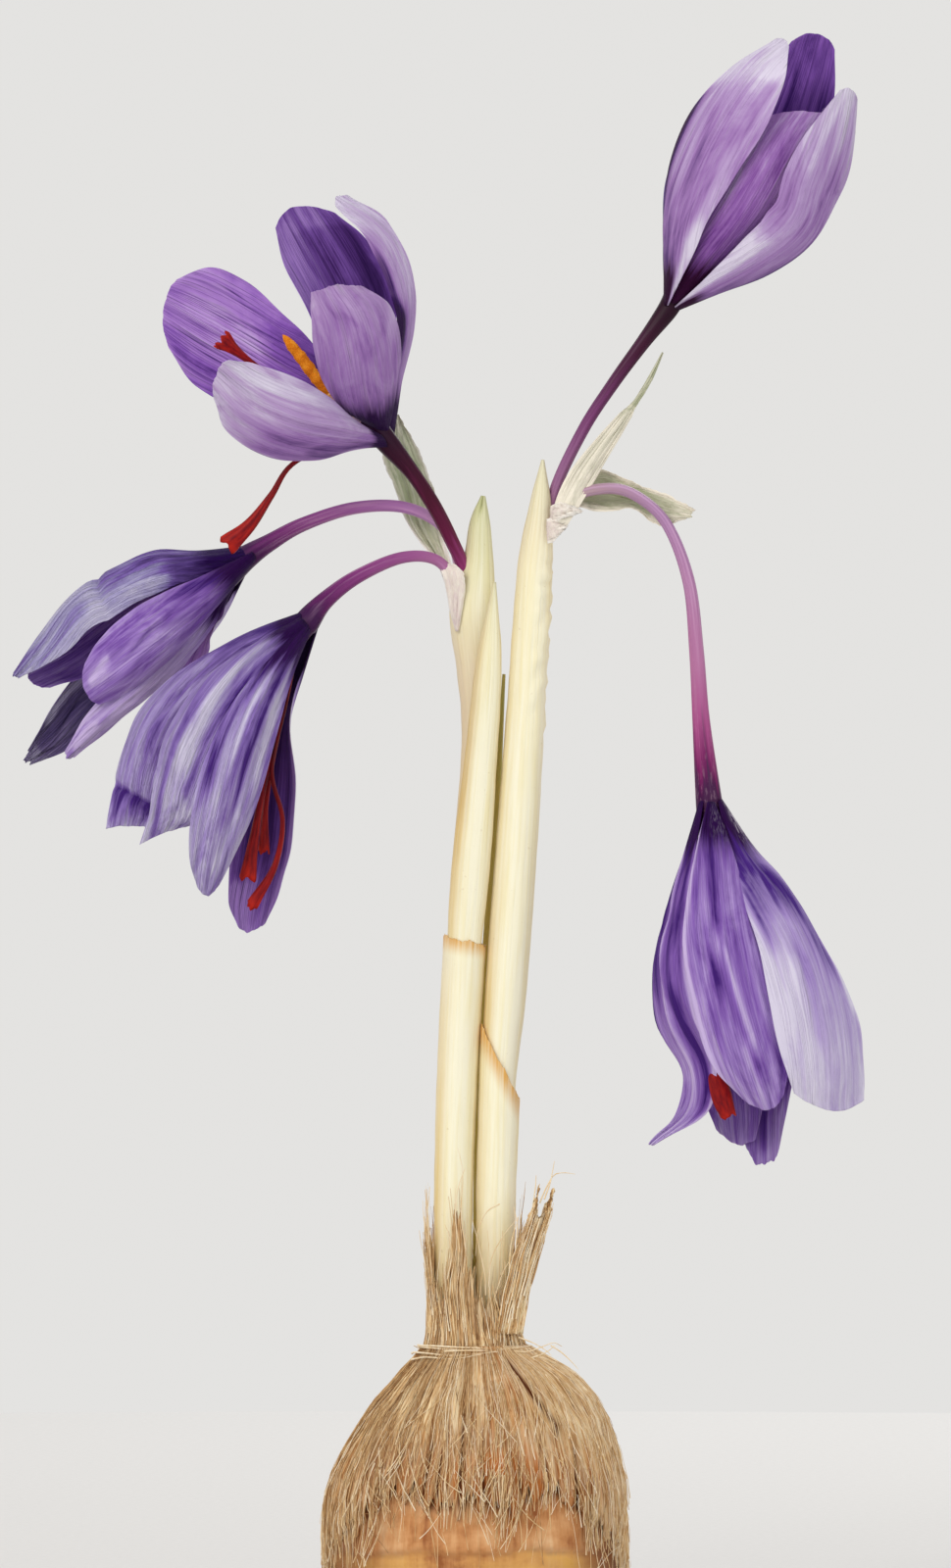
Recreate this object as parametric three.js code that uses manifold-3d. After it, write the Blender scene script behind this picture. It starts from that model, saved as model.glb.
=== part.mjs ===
// Saffron crocus (Crocus sativus) lifted with its corm: five flowers on two pale shoots.
// Millimetres, +Z up. The origin is the centre of the flat basal face that the corm rests on,
// +X is to the right and -Y is the front.
import * as THREE from 'three';
import { mergeVertices } from 'three/addons/utils/BufferGeometryUtils.js';
import Module from 'manifold-3d';

const wasm = await Module();
wasm.setup();

// ---------- Driving dimensions, mm ----------

const GAP = 0.3; // air kept between neighbouring pieces
const TEPAL_THICKNESS = 0.5;
const PAPER_THICKNESS = 0.5; // bracts and the torn flap of the tunic
const TEPAL_COLUMNS = 4; // faces across a tepal
const TEPAL_ROWS = 7; // faces along a tepal
const TUBE_SIDES = 8;
const SHOOT_SIDES = 12;
const CORM_SIDES = 28;

const BASAL_RADIUS = 10.5; // flat face that the corm stands on
const CORM_RADIUS = 18.8;
const CORM_HEIGHT = 36.5;
const TUNIC_RADIUS = 19.6;
const NECK_BOTTOM = 37.3;
const NECK_TOP = 54;

// Corm profile from the basal face to the crown, [radius, height].
const CORM_PROFILE = [
  [BASAL_RADIUS, 0], [14.6, 1.6], [17, 4.8], [18.3, 9], [CORM_RADIUS, 13.5], [18.5, 18], [17.4, 22.5],
  [15, 27], [11.6, 31], [7.6, 34.4], [4, CORM_HEIGHT],
];

// Outside of the fibrous tunic from its torn lower edge to the neck, [radius, height].
const TUNIC_PROFILE = [
  [TUNIC_RADIUS, 10], [TUNIC_RADIUS, 16], [19, 21], [17.6, 26], [15.2, 30.5], [11.6, 34.6], [7.4, 38.2],
];
const TUNIC_WALL = 0.55;

// Fibrous neck round the foot of the shoots, [x, y, z, half width, half depth].
const NECK = [
  [0, 0, NECK_BOTTOM, 5.2], [-0.1, 0, 41, 5.7, 5.5], [-0.3, 0, 45, 5.7, 5],
  [-0.4, 0, 50, 6.1, 4.6], [-0.2, 0, NECK_TOP, 6.4, 4.4],
];

// Section of the strands bound round the neck, [radius, height].
const BINDING = [[6.05, 38.8], [6.9, 39], [7.1, 39.6], [6.9, 40.2], [6.05, 40.4]];
const BINDING_MIDDLE = [6.5, 39.6];

// ---------- Colours ----------

const FINISH = {
  tepal: { color: 0x9b7fcb, roughness: 0.6 },
  perianthTube: { color: 0x7d2a63, roughness: 0.45 },
  stigma: { color: 0xb3170f, roughness: 0.6 },
  anther: { color: 0xe8860c, roughness: 0.8 },
  sheath: { color: 0xefe3b6, roughness: 0.5 },
  bract: { color: 0xd8dcb8, roughness: 0.5 },
  leaf: { color: 0xa9b46a, roughness: 0.5 },
  tunic: { color: 0xa5825a, roughness: 0.9 },
  corm: { color: 0xd39a5d, roughness: 0.75 },
};

// ---------- Geometry tools ----------

const NUDGE = 0.02; // step along a line or a surface for reading its direction
const vector = (point) => new THREE.Vector3(...point);

/** Smooth line through a list of points, read at 0..1. */
function spline(points) {
  const curve = new THREE.CatmullRomCurve3(points.map(vector), false, 'catmullrom', 0.5);
  return (t) => curve.getPoint(THREE.MathUtils.clamp(t, 0, 1));
}

/** Smooth run of values at even steps, read at 0..1. */
function profile(values) {
  const line = spline(values.map((value) => [value, 0, 0]));
  return (t) => line(t).x;
}

/** Moves every vertex of a closed geometry by place(x, y, z) and merges the ones that coincide. */
function warp(source, place) {
  const geometry = source.clone();
  geometry.deleteAttribute('normal');
  geometry.deleteAttribute('uv');
  const position = geometry.getAttribute('position');
  for (let i = 0; i < position.count; i += 1) {
    const point = place(position.getX(i), position.getY(i), position.getZ(i));
    position.setXYZ(i, point.x, point.y, point.z);
  }
  return mergeVertices(geometry);
}

/**
 * Rod along a line of stations, each [x, y, z, half width, half depth]; the depth defaults to the width.
 * slant leans its end faces by that much to either side.
 */
function rod(stations, { sides = TUBE_SIDES, steps = 12, slant = 0 } = {}) {
  const path = spline(stations.map(([x, y, z]) => [x, y, z]));
  const halfWidth = profile(stations.map(([, , , width]) => width));
  const halfDepth = profile(stations.map(([, , , width, depth = width]) => depth));
  const depthWay = new THREE.Vector3(0, 1, 0);
  const blank = new THREE.CylinderGeometry(1, 1, 1, sides, steps);
  return (grow) => warp(blank, (x, y, z) => {
    const t = y + 0.5;
    const along = path(Math.min(t + NUDGE, 1)).sub(path(Math.max(t - NUDGE, 0))).normalize();
    const across = new THREE.Vector3().crossVectors(depthWay, along).normalize();
    const deep = new THREE.Vector3().crossVectors(along, across);
    return path(t)
      .addScaledVector(across, x * (halfWidth(t) + grow))
      .addScaledVector(deep, -z * (halfDepth(t) + grow))
      .addScaledVector(along, 2 * (t - 0.5) * grow + slant * t * x);
  });
}

/**
 * Thin blade between two edge lines that start side by side and end near one tip.
 * bulge says how far its middle stands out from the chord between the edges, on the side of outside.
 */
function blade({ first, second, bulge, outside, end = 0.97 }, thickness) {
  const left = spline(first);
  const right = spline(second);
  const crown = profile(bulge);
  const centre = (t) => left(t).add(right(t)).multiplyScalar(0.5);
  const crosswise = (t) => {
    const along = centre(Math.min(t + NUDGE, 1)).sub(centre(Math.max(t - NUDGE, 0))).normalize();
    return right(t).sub(left(t)).cross(along).normalize();
  };
  const side = Math.sign(crosswise(0.5).dot(vector(outside))) || 1;
  const surface = (u, v) => {
    const t = THREE.MathUtils.clamp(v, 0, 1) * end;
    const chord = right(t).sub(left(t)).multiplyScalar(0.5);
    return centre(t).addScaledVector(chord, u).addScaledVector(crosswise(t), side * crown(t) * (1 - u * u));
  };
  const blank = new THREE.BoxGeometry(2, 1, 1, TEPAL_COLUMNS, 1, TEPAL_ROWS);
  return (grow) => warp(blank, (u, n, w) => {
    const v = w + 0.5;
    const across = surface(u + NUDGE, v).sub(surface(u - NUDGE, v)).normalize();
    const along = surface(u, Math.min(v + NUDGE, 1)).sub(surface(u, Math.max(v - NUDGE, 0))).normalize();
    const normal = new THREE.Vector3().crossVectors(along, across).normalize();
    return surface(u, v)
      .addScaledVector(normal, 2 * n * (thickness / 2 + grow))
      .addScaledVector(across, u * grow)
      .addScaledVector(along, 2 * (v - 0.5) * grow);
  });
}

/** Body turned about Z from a closed [radius, height] outline. */
function turned(outline, sides = CORM_SIDES) {
  const profilePoints = outline.map(([r, z]) => new THREE.Vector2(r, z));
  return new THREE.LatheGeometry(profilePoints, sides).rotateX(Math.PI / 2);
}

/** Solid for cutting and joining, from a closed geometry. */
function solid(geometry) {
  const merged = warp(geometry, (x, y, z) => new THREE.Vector3(x, y, z));
  return new wasm.Manifold(new wasm.Mesh({
    numProp: 3,
    vertProperties: new Float32Array(merged.getAttribute('position').array),
    triVerts: new Uint32Array(merged.index.array),
  }));
}

/** Geometry of a solid's surface. */
function skinOf(body) {
  const { vertProperties, triVerts } = body.getMesh();
  const geometry = new THREE.BufferGeometry();
  geometry.setAttribute('position', new THREE.BufferAttribute(vertProperties, 3));
  geometry.setIndex(new THREE.BufferAttribute(triVerts, 1));
  return geometry;
}

/** Largest separate body of a solid. */
function largest(body) {
  return body.decompose().sort((a, b) => b.volume() - a.volume())[0];
}

// ---------- Assembly ----------

const group = new THREE.Group();
const placed = []; // swollen copies of the pieces so far, which later pieces are cut clear of

function boxesMeet(a, b) {
  return [0, 1, 2].every((axis) => a.min[axis] < b.max[axis] && b.min[axis] < a.max[axis]);
}

/**
 * Adds one named piece. shape(grow) gives its closed geometry with every face moved out by grow.
 * The piece is cut clear of all the pieces before it.
 */
function add(name, finish, shape) {
  let body = solid(shape(0));
  const reach = body.boundingBox();
  for (const neighbour of placed) {
    if (boxesMeet(reach, neighbour.boundingBox())) body = body.subtract(neighbour);
  }
  placed.push(solid(shape(GAP)));
  const material = new THREE.MeshStandardMaterial({ ...finish, metalness: 0 });
  const mesh = new THREE.Mesh(skinOf(largest(body)), material);
  mesh.name = name;
  group.add(mesh);
}

/** Several geometries that share a root, joined in one closed geometry. */
function joined(shapes) {
  return (grow) => {
    const body = shapes.map((shape) => solid(shape(grow))).reduce((sum, next) => sum.add(next));
    return skinOf(largest(body));
  };
}

// ---------- Corm and tunic ----------

add('corm', FINISH.corm, (grow) => {
  const outline = CORM_PROFILE.map(([r, z]) => [r + grow, z + (z > 0 ? grow : -grow)]);
  return turned([[0, -grow], ...outline, [0, CORM_HEIGHT + grow]]);
});

/** Height of the tunic's torn edge at an angle about Z. It is high in front and low at the sides. */
function tornEdge(angle) {
  const front = Math.max(0, -Math.sin(angle));
  return 9 + 11.5 * front ** 0.6 + 1.2 * Math.sin(5 * angle) + 0.7 * Math.sin(11 * angle);
}

// ---------- Stations and edge lines of the grown pieces ----------

// Floral tubes, [x, y, z, radius] from inside the shoot to the throat of the flower.
const PERIANTH_TUBES = [
  [[-1.2, 0.6, 135, 0.7], [-1.7, 0.4, 141, 0.8], [-3.2, 0, 144.6, 0.9], [-5.4, -0.4, 148.9, 0.95],
    [-8.2, -0.7, 153.2, 1], [-11.6, -1, 157.3, 1.15]],
  [[-1.8, 2, 138, 0.6], [-2.8, 2, 143.6, 0.65], [-5, 2, 146.9, 0.7], [-9.7, 2.5, 148.9, 0.75],
    [-16.1, 3, 148.7, 0.8], [-22.6, 3.5, 146.6, 0.9], [-27, 3.8, 144.2, 1], [-30, 4, 142.3, 1.2]],
  [[-2.2, -0.4, 136.5, 0.6], [-3, -1, 140, 0.65], [-5.2, -2, 141.9, 0.7], [-9.7, -4, 142.1, 0.75],
    [-15.4, -6.5, 139.6, 0.9], [-19.5, -8.2, 136.5, 1], [-22, -9, 133.5, 1.25]],
  [[9.2, 0.8, 145, 0.6], [10.4, 1, 151, 0.7], [14, 1.2, 158.8, 0.75], [18, 1.5, 165, 0.8],
    [22, 1.8, 170.5, 0.9], [25, 2, 174.5, 1.1]],
  [[9.6, -1, 146, 0.6], [12, -1.3, 149.8, 0.65], [17, -1.8, 151.2, 0.7], [21, -2.1, 150.2, 0.7],
    [25, -2.5, 146.4, 0.7], [27.8, -2.8, 139, 0.8], [28.8, -3, 130, 0.9], [29.4, -3, 121, 1.05],
    [30.4, -3, 110.5, 1.4]],
];

// Shoots, [x, y, z, half width, half depth] from the crown of the corm up.
const SHOOTS = {
  right_inner_sheath: [[2.4, 0, NECK_BOTTOM, 1.7], [2.6, 0, 60, 1.85], [3.1, 0, 74, 2.2], [4, 0, 86, 2.7],
    [5.4, 0, 105, 2.7, 2.6], [6.7, 0, 124, 2.5, 2.4], [7.7, 0, 140, 2.3, 2], [8.4, 0, 148, 1.6, 1.3],
    [8.8, 0.2, 155, 0.2]],
  left_front_sheath: [[-2.4, -1, NECK_BOTTOM, 1.4, 1], [-2.9, -1, 58, 1.6, 1.1], [-2.2, -1, 78, 1.9, 1.2],
    [-1.5, -1.2, 91, 2.2, 1.4], [-0.6, -1.3, 102, 2.5, 1.7], [0.7, -1.3, 116, 2.1, 1.6],
    [1.7, -1.2, 128, 1.7, 1.3], [2.5, -0.8, 139, 0.2]],
  left_hooded_sheath: [[-2.4, 1.3, NECK_BOTTOM, 1.4, 0.9], [-2.9, 1.3, 58, 1.6, 0.9],
    [-1.9, 1.4, 80, 1.8, 1], [-0.9, 1.6, 100, 2.2, 1.2], [0.4, 1.8, 120, 2.4, 1.4],
    [-0.4, 1.6, 135, 3, 1.6], [0.4, 1.4, 142, 1.9, 1.3], [1, 1.2, 150, 0.2]],
  leaf_tip: [[0.1, 2.6, NECK_BOTTOM, 0.5, 0.4], [0.2, 3, 60, 0.5, 0.4], [0.8, 3.2, 82, 0.5, 0.4],
    [2.6, 3, 108, 0.5, 0.4], [3.7, 1.5, 127, 0.2]],
};
const OUTER_SHEATHS = {
  left_outer_sheath: [[-2.6, 0, NECK_BOTTOM, 2.3, 2.4], [-2.9, 0, 56, 2.5, 2.6], [-2.4, 0, 74, 2.65, 2.7],
    [-1.4, 0, 92.2, 3, 3]],
  right_outer_sheath: [[2.6, 0, NECK_BOTTOM, 2.3, 2.3], [2.6, 0, 56, 2.55, 2.6], [3.2, 0, 76.4, 3, 3]],
};
const OUTER_SHEATH_SLANT = { left_outer_sheath: -0.5, right_outer_sheath: -4.9 };

// Papery pieces: two edge lines from the foot to the tip, and how far the middle bellies out.
const BRACTS = {
  left_bract: {
    first: [[-3.9, 2.6, 139], [-6, 3.6, 142.6], [-8.9, 4.2, 146.6], [-10.9, 4.4, 151.8],
      [-12.2, 3.8, 155.7], [-10.3, 3, 161.1]],
    second: [[-2.9, 3.4, 140.4], [-3.8, 4.4, 144], [-4.9, 5, 148.3], [-5.6, 5, 152], [-7.5, 4.2, 156.8],
      [-10.1, 3, 161.2]],
    bulge: [0.2, 0.8, 1.2, 1.2, 0.6, 0], outside: [0, 1, 0],
  },
  right_bract_spike: {
    first: [[10.6, -1.9, 147], [11.6, -1.6, 150.4], [13.9, -1.2, 153.6], [18.6, -0.6, 159.9],
      [21.2, -0.4, 163.3], [24.2, -0.4, 168.8]],
    second: [[11.6, -2.3, 146.6], [13.2, -2, 149.9], [15.2, -1.4, 153.2], [19.5, -0.7, 159.7],
      [21.8, -0.5, 162.8], [24.5, -0.4, 168.7]],
    bulge: [0.2, 0.5, 0.6, 0.2, 0.1, 0], outside: [0, -1, 0],
  },
  right_bract_wing: {
    first: [[11.2, 1, 150], [13.5, 1.4, 152.2], [16.5, 1.8, 153.7], [20.5, 1.4, 152.1], [25, 0.4, 150.5],
      [28.7, -0.4, 148.3]],
    second: [[11.4, 0.6, 147.6], [13.5, 0.4, 148.9], [16.6, 0, 148.3], [20.6, -0.6, 148.2],
      [24, -1, 146.7], [28.3, -0.6, 147.8]],
    bulge: [0.1, 0.6, 0.8, 0.8, 0.4, 0], outside: [0, 1, 0],
  },
};
const TUNIC_FLAP = {
  first: [[6.1, -2.6, 45], [5.3, -3.9, 51], [5.4, -4.3, 56], [7.8, -3.3, 60.3], [10, -1.8, 62.4]],
  second: [[7, -0.6, 45.5], [8.3, -0.6, 51.8], [9.9, -0.8, 56.5], [10.5, -1.1, 60], [10.3, -1.6, 62.5]],
  bulge: [0.2, 0.6, 0.8, 0.5, 0], outside: [1, -0.5, 0],
};

/** Three rods that leave one root and spread evenly about the way to the tip. */
function fan(root, tip, spread, radii, turn = 0) {
  const from = vector(root);
  const way = vector(tip).sub(from);
  const sideways = new THREE.Vector3().crossVectors(way, new THREE.Vector3(0, 1, 0)).normalize();
  return [0, 1, 2].map((k) => radii.map((radius, i) => {
    const t = i / (radii.length - 1);
    const turned = sideways.clone().applyAxisAngle(way.clone().normalize(), turn + (k * 2 * Math.PI) / 3);
    return [...from.clone().addScaledVector(way, t).addScaledVector(turned, spread * t), radius];
  }));
}

const STIGMA_RADII = [0.4, 0.35, 0.4, 0.6, 1.1];
const STAMEN_RADII = [0.35, 0.35, 0.75, 0.8, 0.4];

// Flowers in the order of their tubes. Each tepal has two edge lines from its claw to its tip.
const FLOWERS = [
  {
    axis: [[-11.8, -1, 157.5], [-32, -7, 184]],
    stigmas: [
      [[-12.6, -1.2, 158.9, 0.4], [-20, -3.5, 162.6, 0.35], [-27.3, -6, 166.3, 0.45],
        [-31, -7, 168.7, 0.7, 0.5], [-33.2, -7.5, 170.2, 1.3, 0.6]],
      [[-12.6, -1.2, 158.9, 0.4], [-18, -3.8, 157.4, 0.35], [-23.8, -5.8, 154.2, 0.35],
        [-26.5, -6, 150.2, 0.45], [-29.3, -6, 146.3, 0.9, 0.5], [-31.8, -6, 143.8, 1.35, 0.6]],
      [[-12.6, -1.2, 158.9, 0.4], [-14, -1.5, 164, 0.4], [-17.5, -2, 170, 0.9]],
    ],
    stamens: [
      [[-12.6, 0.4, 159.6, 0.35], [-16.5, -0.8, 161.6, 0.35], [-19.8, -2, 164.4, 0.75],
        [-22.4, -2.5, 167.6, 0.8], [-24.9, -3, 170.7, 0.45]],
      [[-12.6, 0.4, 159.6, 0.35], [-13.2, 1.8, 164, 0.75], [-14, 2.8, 169, 0.8], [-15, 3.6, 173, 0.4]],
      [[-12.6, 0.4, 159.6, 0.35], [-16.5, -4.5, 160.2, 0.35], [-20, -7.6, 160.8, 0.75],
        [-25.5, -10, 162.6, 0.4]],
    ],
    tepals: {
      outer_1: {
        first: [[-11.7, -2.6, 156.4], [-17.2, -8, 155.6], [-24.5, -14, 154.4], [-31.4, -20, 157.5],
          [-33.8, -24, 162.5], [-32.7, -26, 166.9]],
        second: [[-12.8, -3.4, 158.2], [-15.6, -7, 160], [-19.5, -12, 163.3], [-25, -18, 165.9],
          [-30, -23.5, 167], [-32.3, -26, 167]],
        bulge: [0.2, 1.5, 3, 3.4, 1.8, 0],
      },
      inner_1: {
        first: [[-13.2, -2.8, 159.2], [-18.8, -9, 163.5], [-21, -14.5, 169.5], [-21.4, -18, 174.8],
          [-18.8, -19.5, 177.4]],
        second: [[-11.4, -1.9, 158.6], [-10.1, -6, 164.6], [-9.8, -10, 170], [-11.4, -14.5, 175.4],
          [-18.2, -19.4, 177.4]],
        bulge: [0.2, 1.8, 3.2, 2, 0],
      },
      outer_2: {
        first: [[-11.2, -1.6, 158.8], [-10.4, -3.5, 165], [-9.7, -4, 171.5], [-11.5, -3.4, 178.7],
          [-15.6, -1, 186], [-18.7, 2, 189.2]],
        second: [[-10.9, 0.2, 159], [-10.2, 5, 165.5], [-9.2, 9, 172], [-10, 11, 179],
          [-13, 8.5, 185.5], [-18.3, 2.6, 189.3]],
        bulge: [0.1, 0.5, 1.4, 2.4, 2.2, 0],
      },
      inner_2: {
        first: [[-13.4, -0.6, 160.4], [-19.5, 2, 168.3], [-26.2, 5.4, 175.1], [-32.5, 7, 180],
          [-38.5, 6.8, 180], [-41, 5, 174.6]],
        second: [[-13.4, -1.6, 159.4], [-20, -3, 160.6], [-27, -3.6, 161.2], [-34.2, -1.6, 162.8],
          [-39, 1, 167.5], [-40.9, 4, 173.6]],
        bulge: [0.2, 1.5, 3, 3.6, 2.4, 0],
      },
      outer_3: {
        first: [[-12.8, 0.2, 160.4], [-17.2, 4, 166.4], [-21.4, 8, 173], [-24.8, 12, 179],
          [-26.5, 14, 184], [-23.6, 15, 188.2]],
        second: [[-11.8, 0.8, 160.4], [-12.2, 4.6, 167], [-11.4, 9, 174], [-12.4, 12, 179.5],
          [-15.4, 14.2, 185], [-22.9, 15, 188.2]],
        bulge: [0.2, 1.2, 2.4, 2.8, 1.6, 0],
      },
      inner_3: {
        first: [[-12.3, 1.8, 160.6], [-16.2, 9.5, 167.5], [-19.6, 14.8, 175], [-21.6, 18.4, 181],
          [-19, 20.5, 186]],
        second: [[-11.2, 1.7, 160.4], [-10.7, 8.6, 167], [-10.7, 14, 174], [-12.9, 17.6, 180.5],
          [-18.4, 20.4, 186]],
        bulge: [0.2, 1.2, 2, 1.6, 0],
      },
    },
  },
  {
    axis: [[-30, 4, 142.3], [-52, 5, 122]],
    stigmas: fan([-31.8, 4.2, 140.8], [-50, 5, 124], 2.4, STIGMA_RADII),
    stamens: fan([-32, 5.8, 140.4], [-46, 6.8, 128], 3, STAMEN_RADII, 1),
    tepals: {
      outer_1: {
        first: [[-31.4, 2.4, 141.9], [-37, -2.6, 139.2], [-43.8, -6, 136], [-49.9, -7, 130.2],
          [-50.2, -4.6, 123.2], [-53.8, -2, 115.7]],
        second: [[-31, 2.6, 140.2], [-33.7, -0.6, 134.8], [-37.4, -3.6, 129.1], [-42.6, -4.6, 123.2],
          [-48.4, -3.8, 118.9], [-53.4, -2, 115.5]],
        bulge: [0.2, 2, 3, 3, 1.6, 0],
      },
      inner_1: {
        first: [[-31.6, 4.2, 143.1], [-37, 4.6, 143], [-43.2, 5, 142.8], [-50, 5, 139.2], [-56, 4, 133.6],
          [-60.4, 1, 127]],
        second: [[-31.8, 2.6, 142.3], [-36.4, 0.4, 140.4], [-42, -2, 137.6], [-48.6, -3.6, 133.6],
          [-53.6, -2.6, 129.8], [-60.1, 0.8, 126.7]],
        bulge: [0.2, 1.4, 2, 2, 1.2, 0],
      },
      inner_2: {
        first: [[-31.8, 5.2, 142.2], [-40, 9, 140], [-48, 10.4, 136], [-54.5, 9, 131.3],
          [-58.8, 6.4, 127.2]],
        second: [[-31.8, 5.2, 141.2], [-38.5, 9, 136], [-44.6, 10.8, 131], [-50.2, 10, 127.4],
          [-57.6, 6.2, 125.8]],
        bulge: [0.2, 1.4, 2, 1.4, 0],
      },
      outer_2: {
        first: [[-31.4, 5.6, 141.2], [-39.5, 9.6, 134.8], [-47, 11.8, 129], [-53.4, 9.6, 124.8],
          [-56.8, 7, 118.8], [-59.3, 5, 115.8]],
        second: [[-31, 5.6, 140.4], [-35.6, 10.6, 133], [-41, 13, 126.4], [-46.8, 11.8, 121],
          [-52.6, 9, 117.9], [-58.9, 5, 115.5]],
        bulge: [0.2, 1.2, 1.8, 1.8, 1, 0],
      },
      inner_3: {
        first: [[-30.6, 5.4, 140.2], [-35.6, 12.6, 134.5], [-40, 16, 129], [-43, 16.4, 124.6]],
        second: [[-30.4, 4.6, 139.6], [-33, 8.6, 134.4], [-34.8, 12.2, 129.8], [-42.4, 16.2, 124.2]],
        bulge: [0.2, 1.2, 1.2, 0],
      },
      outer_3: {
        first: [[-31.6, 6, 142.8], [-38.5, 11.4, 142.4], [-45.5, 14.4, 141], [-51, 14.8, 136.4],
          [-55, 13, 131.2]],
        second: [[-31.6, 6.4, 141.8], [-37.5, 13.6, 139.2], [-44, 17.4, 135.6], [-50, 16.8, 132],
          [-54.7, 13.2, 130.8]],
        bulge: [0.2, 1.4, 2, 1.2, 0],
      },
    },
  },
  {
    axis: [[-22, -9, 133.5], [-36, -11, 104]],
    stigmas: [
      [[-22.9, -9.6, 131.8, 0.35], [-24.6, -12.8, 123, 0.3], [-26.3, -14, 114.5, 0.35],
        [-25, -14.4, 108, 0.4], [-26.3, -14.2, 101.5, 0.5], [-29.2, -13.6, 96.6, 1, 0.5]],
      [[-22.9, -9.6, 131.8, 0.35], [-25.6, -13, 121, 0.3], [-27.6, -14.4, 111.5, 0.5],
        [-28.6, -14.8, 106, 0.8, 0.5], [-29.5, -14.8, 100.3, 1.3, 0.6]],
      [[-22.9, -9.6, 131.8, 0.35], [-25.4, -11.6, 120, 0.3], [-27.2, -12.4, 110.5, 0.35],
        [-27.4, -12.8, 103.8, 0.8, 0.5]],
    ],
    stamens: fan([-23.6, -8, 131.2], [-33.5, -8.6, 112], 2.4, STAMEN_RADII),
    tepals: {
      inner_1: {
        first: [[-22.9, -11.4, 132.9], [-28.5, -17.4, 127.6], [-33.4, -20.8, 120], [-36.2, -20.4, 112],
          [-36.9, -18.4, 104], [-34.9, -16.6, 98.2]],
        second: [[-22, -11.2, 132], [-23.8, -16, 126], [-25.7, -19, 119], [-27.9, -19, 111],
          [-30.6, -17.6, 104], [-34, -16.6, 98.2]],
        bulge: [0.2, 1.5, 2.2, 2, 1.2, 0],
      },
      outer_1: {
        first: [[-23.4, -11, 134], [-30, -14.6, 130], [-37, -17, 124.6], [-41.7, -17, 117.4],
          [-42.4, -15.4, 110], [-43.2, -14, 104.2]],
        second: [[-23.2, -11.2, 133.4], [-28.2, -15.4, 128], [-32.7, -17.6, 121], [-35.2, -17.6, 114],
          [-36.6, -16.4, 108], [-41.8, -14.4, 104.7]],
        bulge: [0.2, 1.2, 2.2, 2, 1, 0],
      },
      inner_2: {
        first: [[-23, -9, 134.8], [-30, -8.4, 131.7], [-38, -8, 127.2], [-44, -8, 120.8],
          [-46.9, -8.6, 113], [-47.6, -9.6, 105.8]],
        second: [[-23.3, -10.2, 134.3], [-30, -12.2, 130], [-36.8, -14, 124.6], [-41.2, -14, 117],
          [-42.2, -12.4, 110.4], [-46.4, -10, 105.6]],
        bulge: [0.2, 1.2, 1.8, 1.6, 0.8, 0],
      },
      outer_2: {
        first: [[-21.4, -9.2, 132], [-22.5, -6.4, 127.6], [-23.9, -5.2, 120], [-23.5, -6.2, 111],
          [-24.7, -7.4, 101.6], [-28.4, -8, 93.2]],
        second: [[-21.9, -8, 132], [-26, -3.6, 125.6], [-30.4, -1.6, 117], [-32.4, -2.4, 108],
          [-32.2, -5, 98.6], [-29.4, -8, 93]],
        bulge: [0.2, 1.2, 2, 2, 1.4, 0],
      },
      outer_3: {
        first: [[-23.2, -8.2, 134.3], [-31, -5, 129.2], [-38, -3, 122.2], [-42.2, -3, 114.4],
          [-43, -5, 107.8]],
        second: [[-23, -7.6, 133.7], [-29.4, -1.4, 126.6], [-34, 0.4, 119], [-37, -0.6, 111.6],
          [-42.5, -4.6, 107.4]],
        bulge: [0.2, 1.4, 2, 1.4, 0],
      },
      inner_3: {
        first: [[-22.6, -7.2, 133], [-28.8, 0.4, 124.4], [-33.6, 4, 115], [-36, 2.6, 106],
          [-34.6, -1, 100]],
        second: [[-21.9, -7, 132.6], [-25, -0.2, 124], [-28.2, 3.4, 115], [-30.8, 2.4, 106],
          [-34, -1, 99.8]],
        bulge: [0.2, 1.2, 1.6, 1.2, 0],
      },
    },
  },
  {
    axis: [[25, 2, 174.5], [43, 1, 208]],
    stigmas: fan([26.4, 2.2, 177], [37, 2.4, 198], 2, STIGMA_RADII),
    stamens: fan([26.6, 3.6, 177], [34.6, 3.4, 193], 2.6, STAMEN_RADII, 1),
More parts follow.
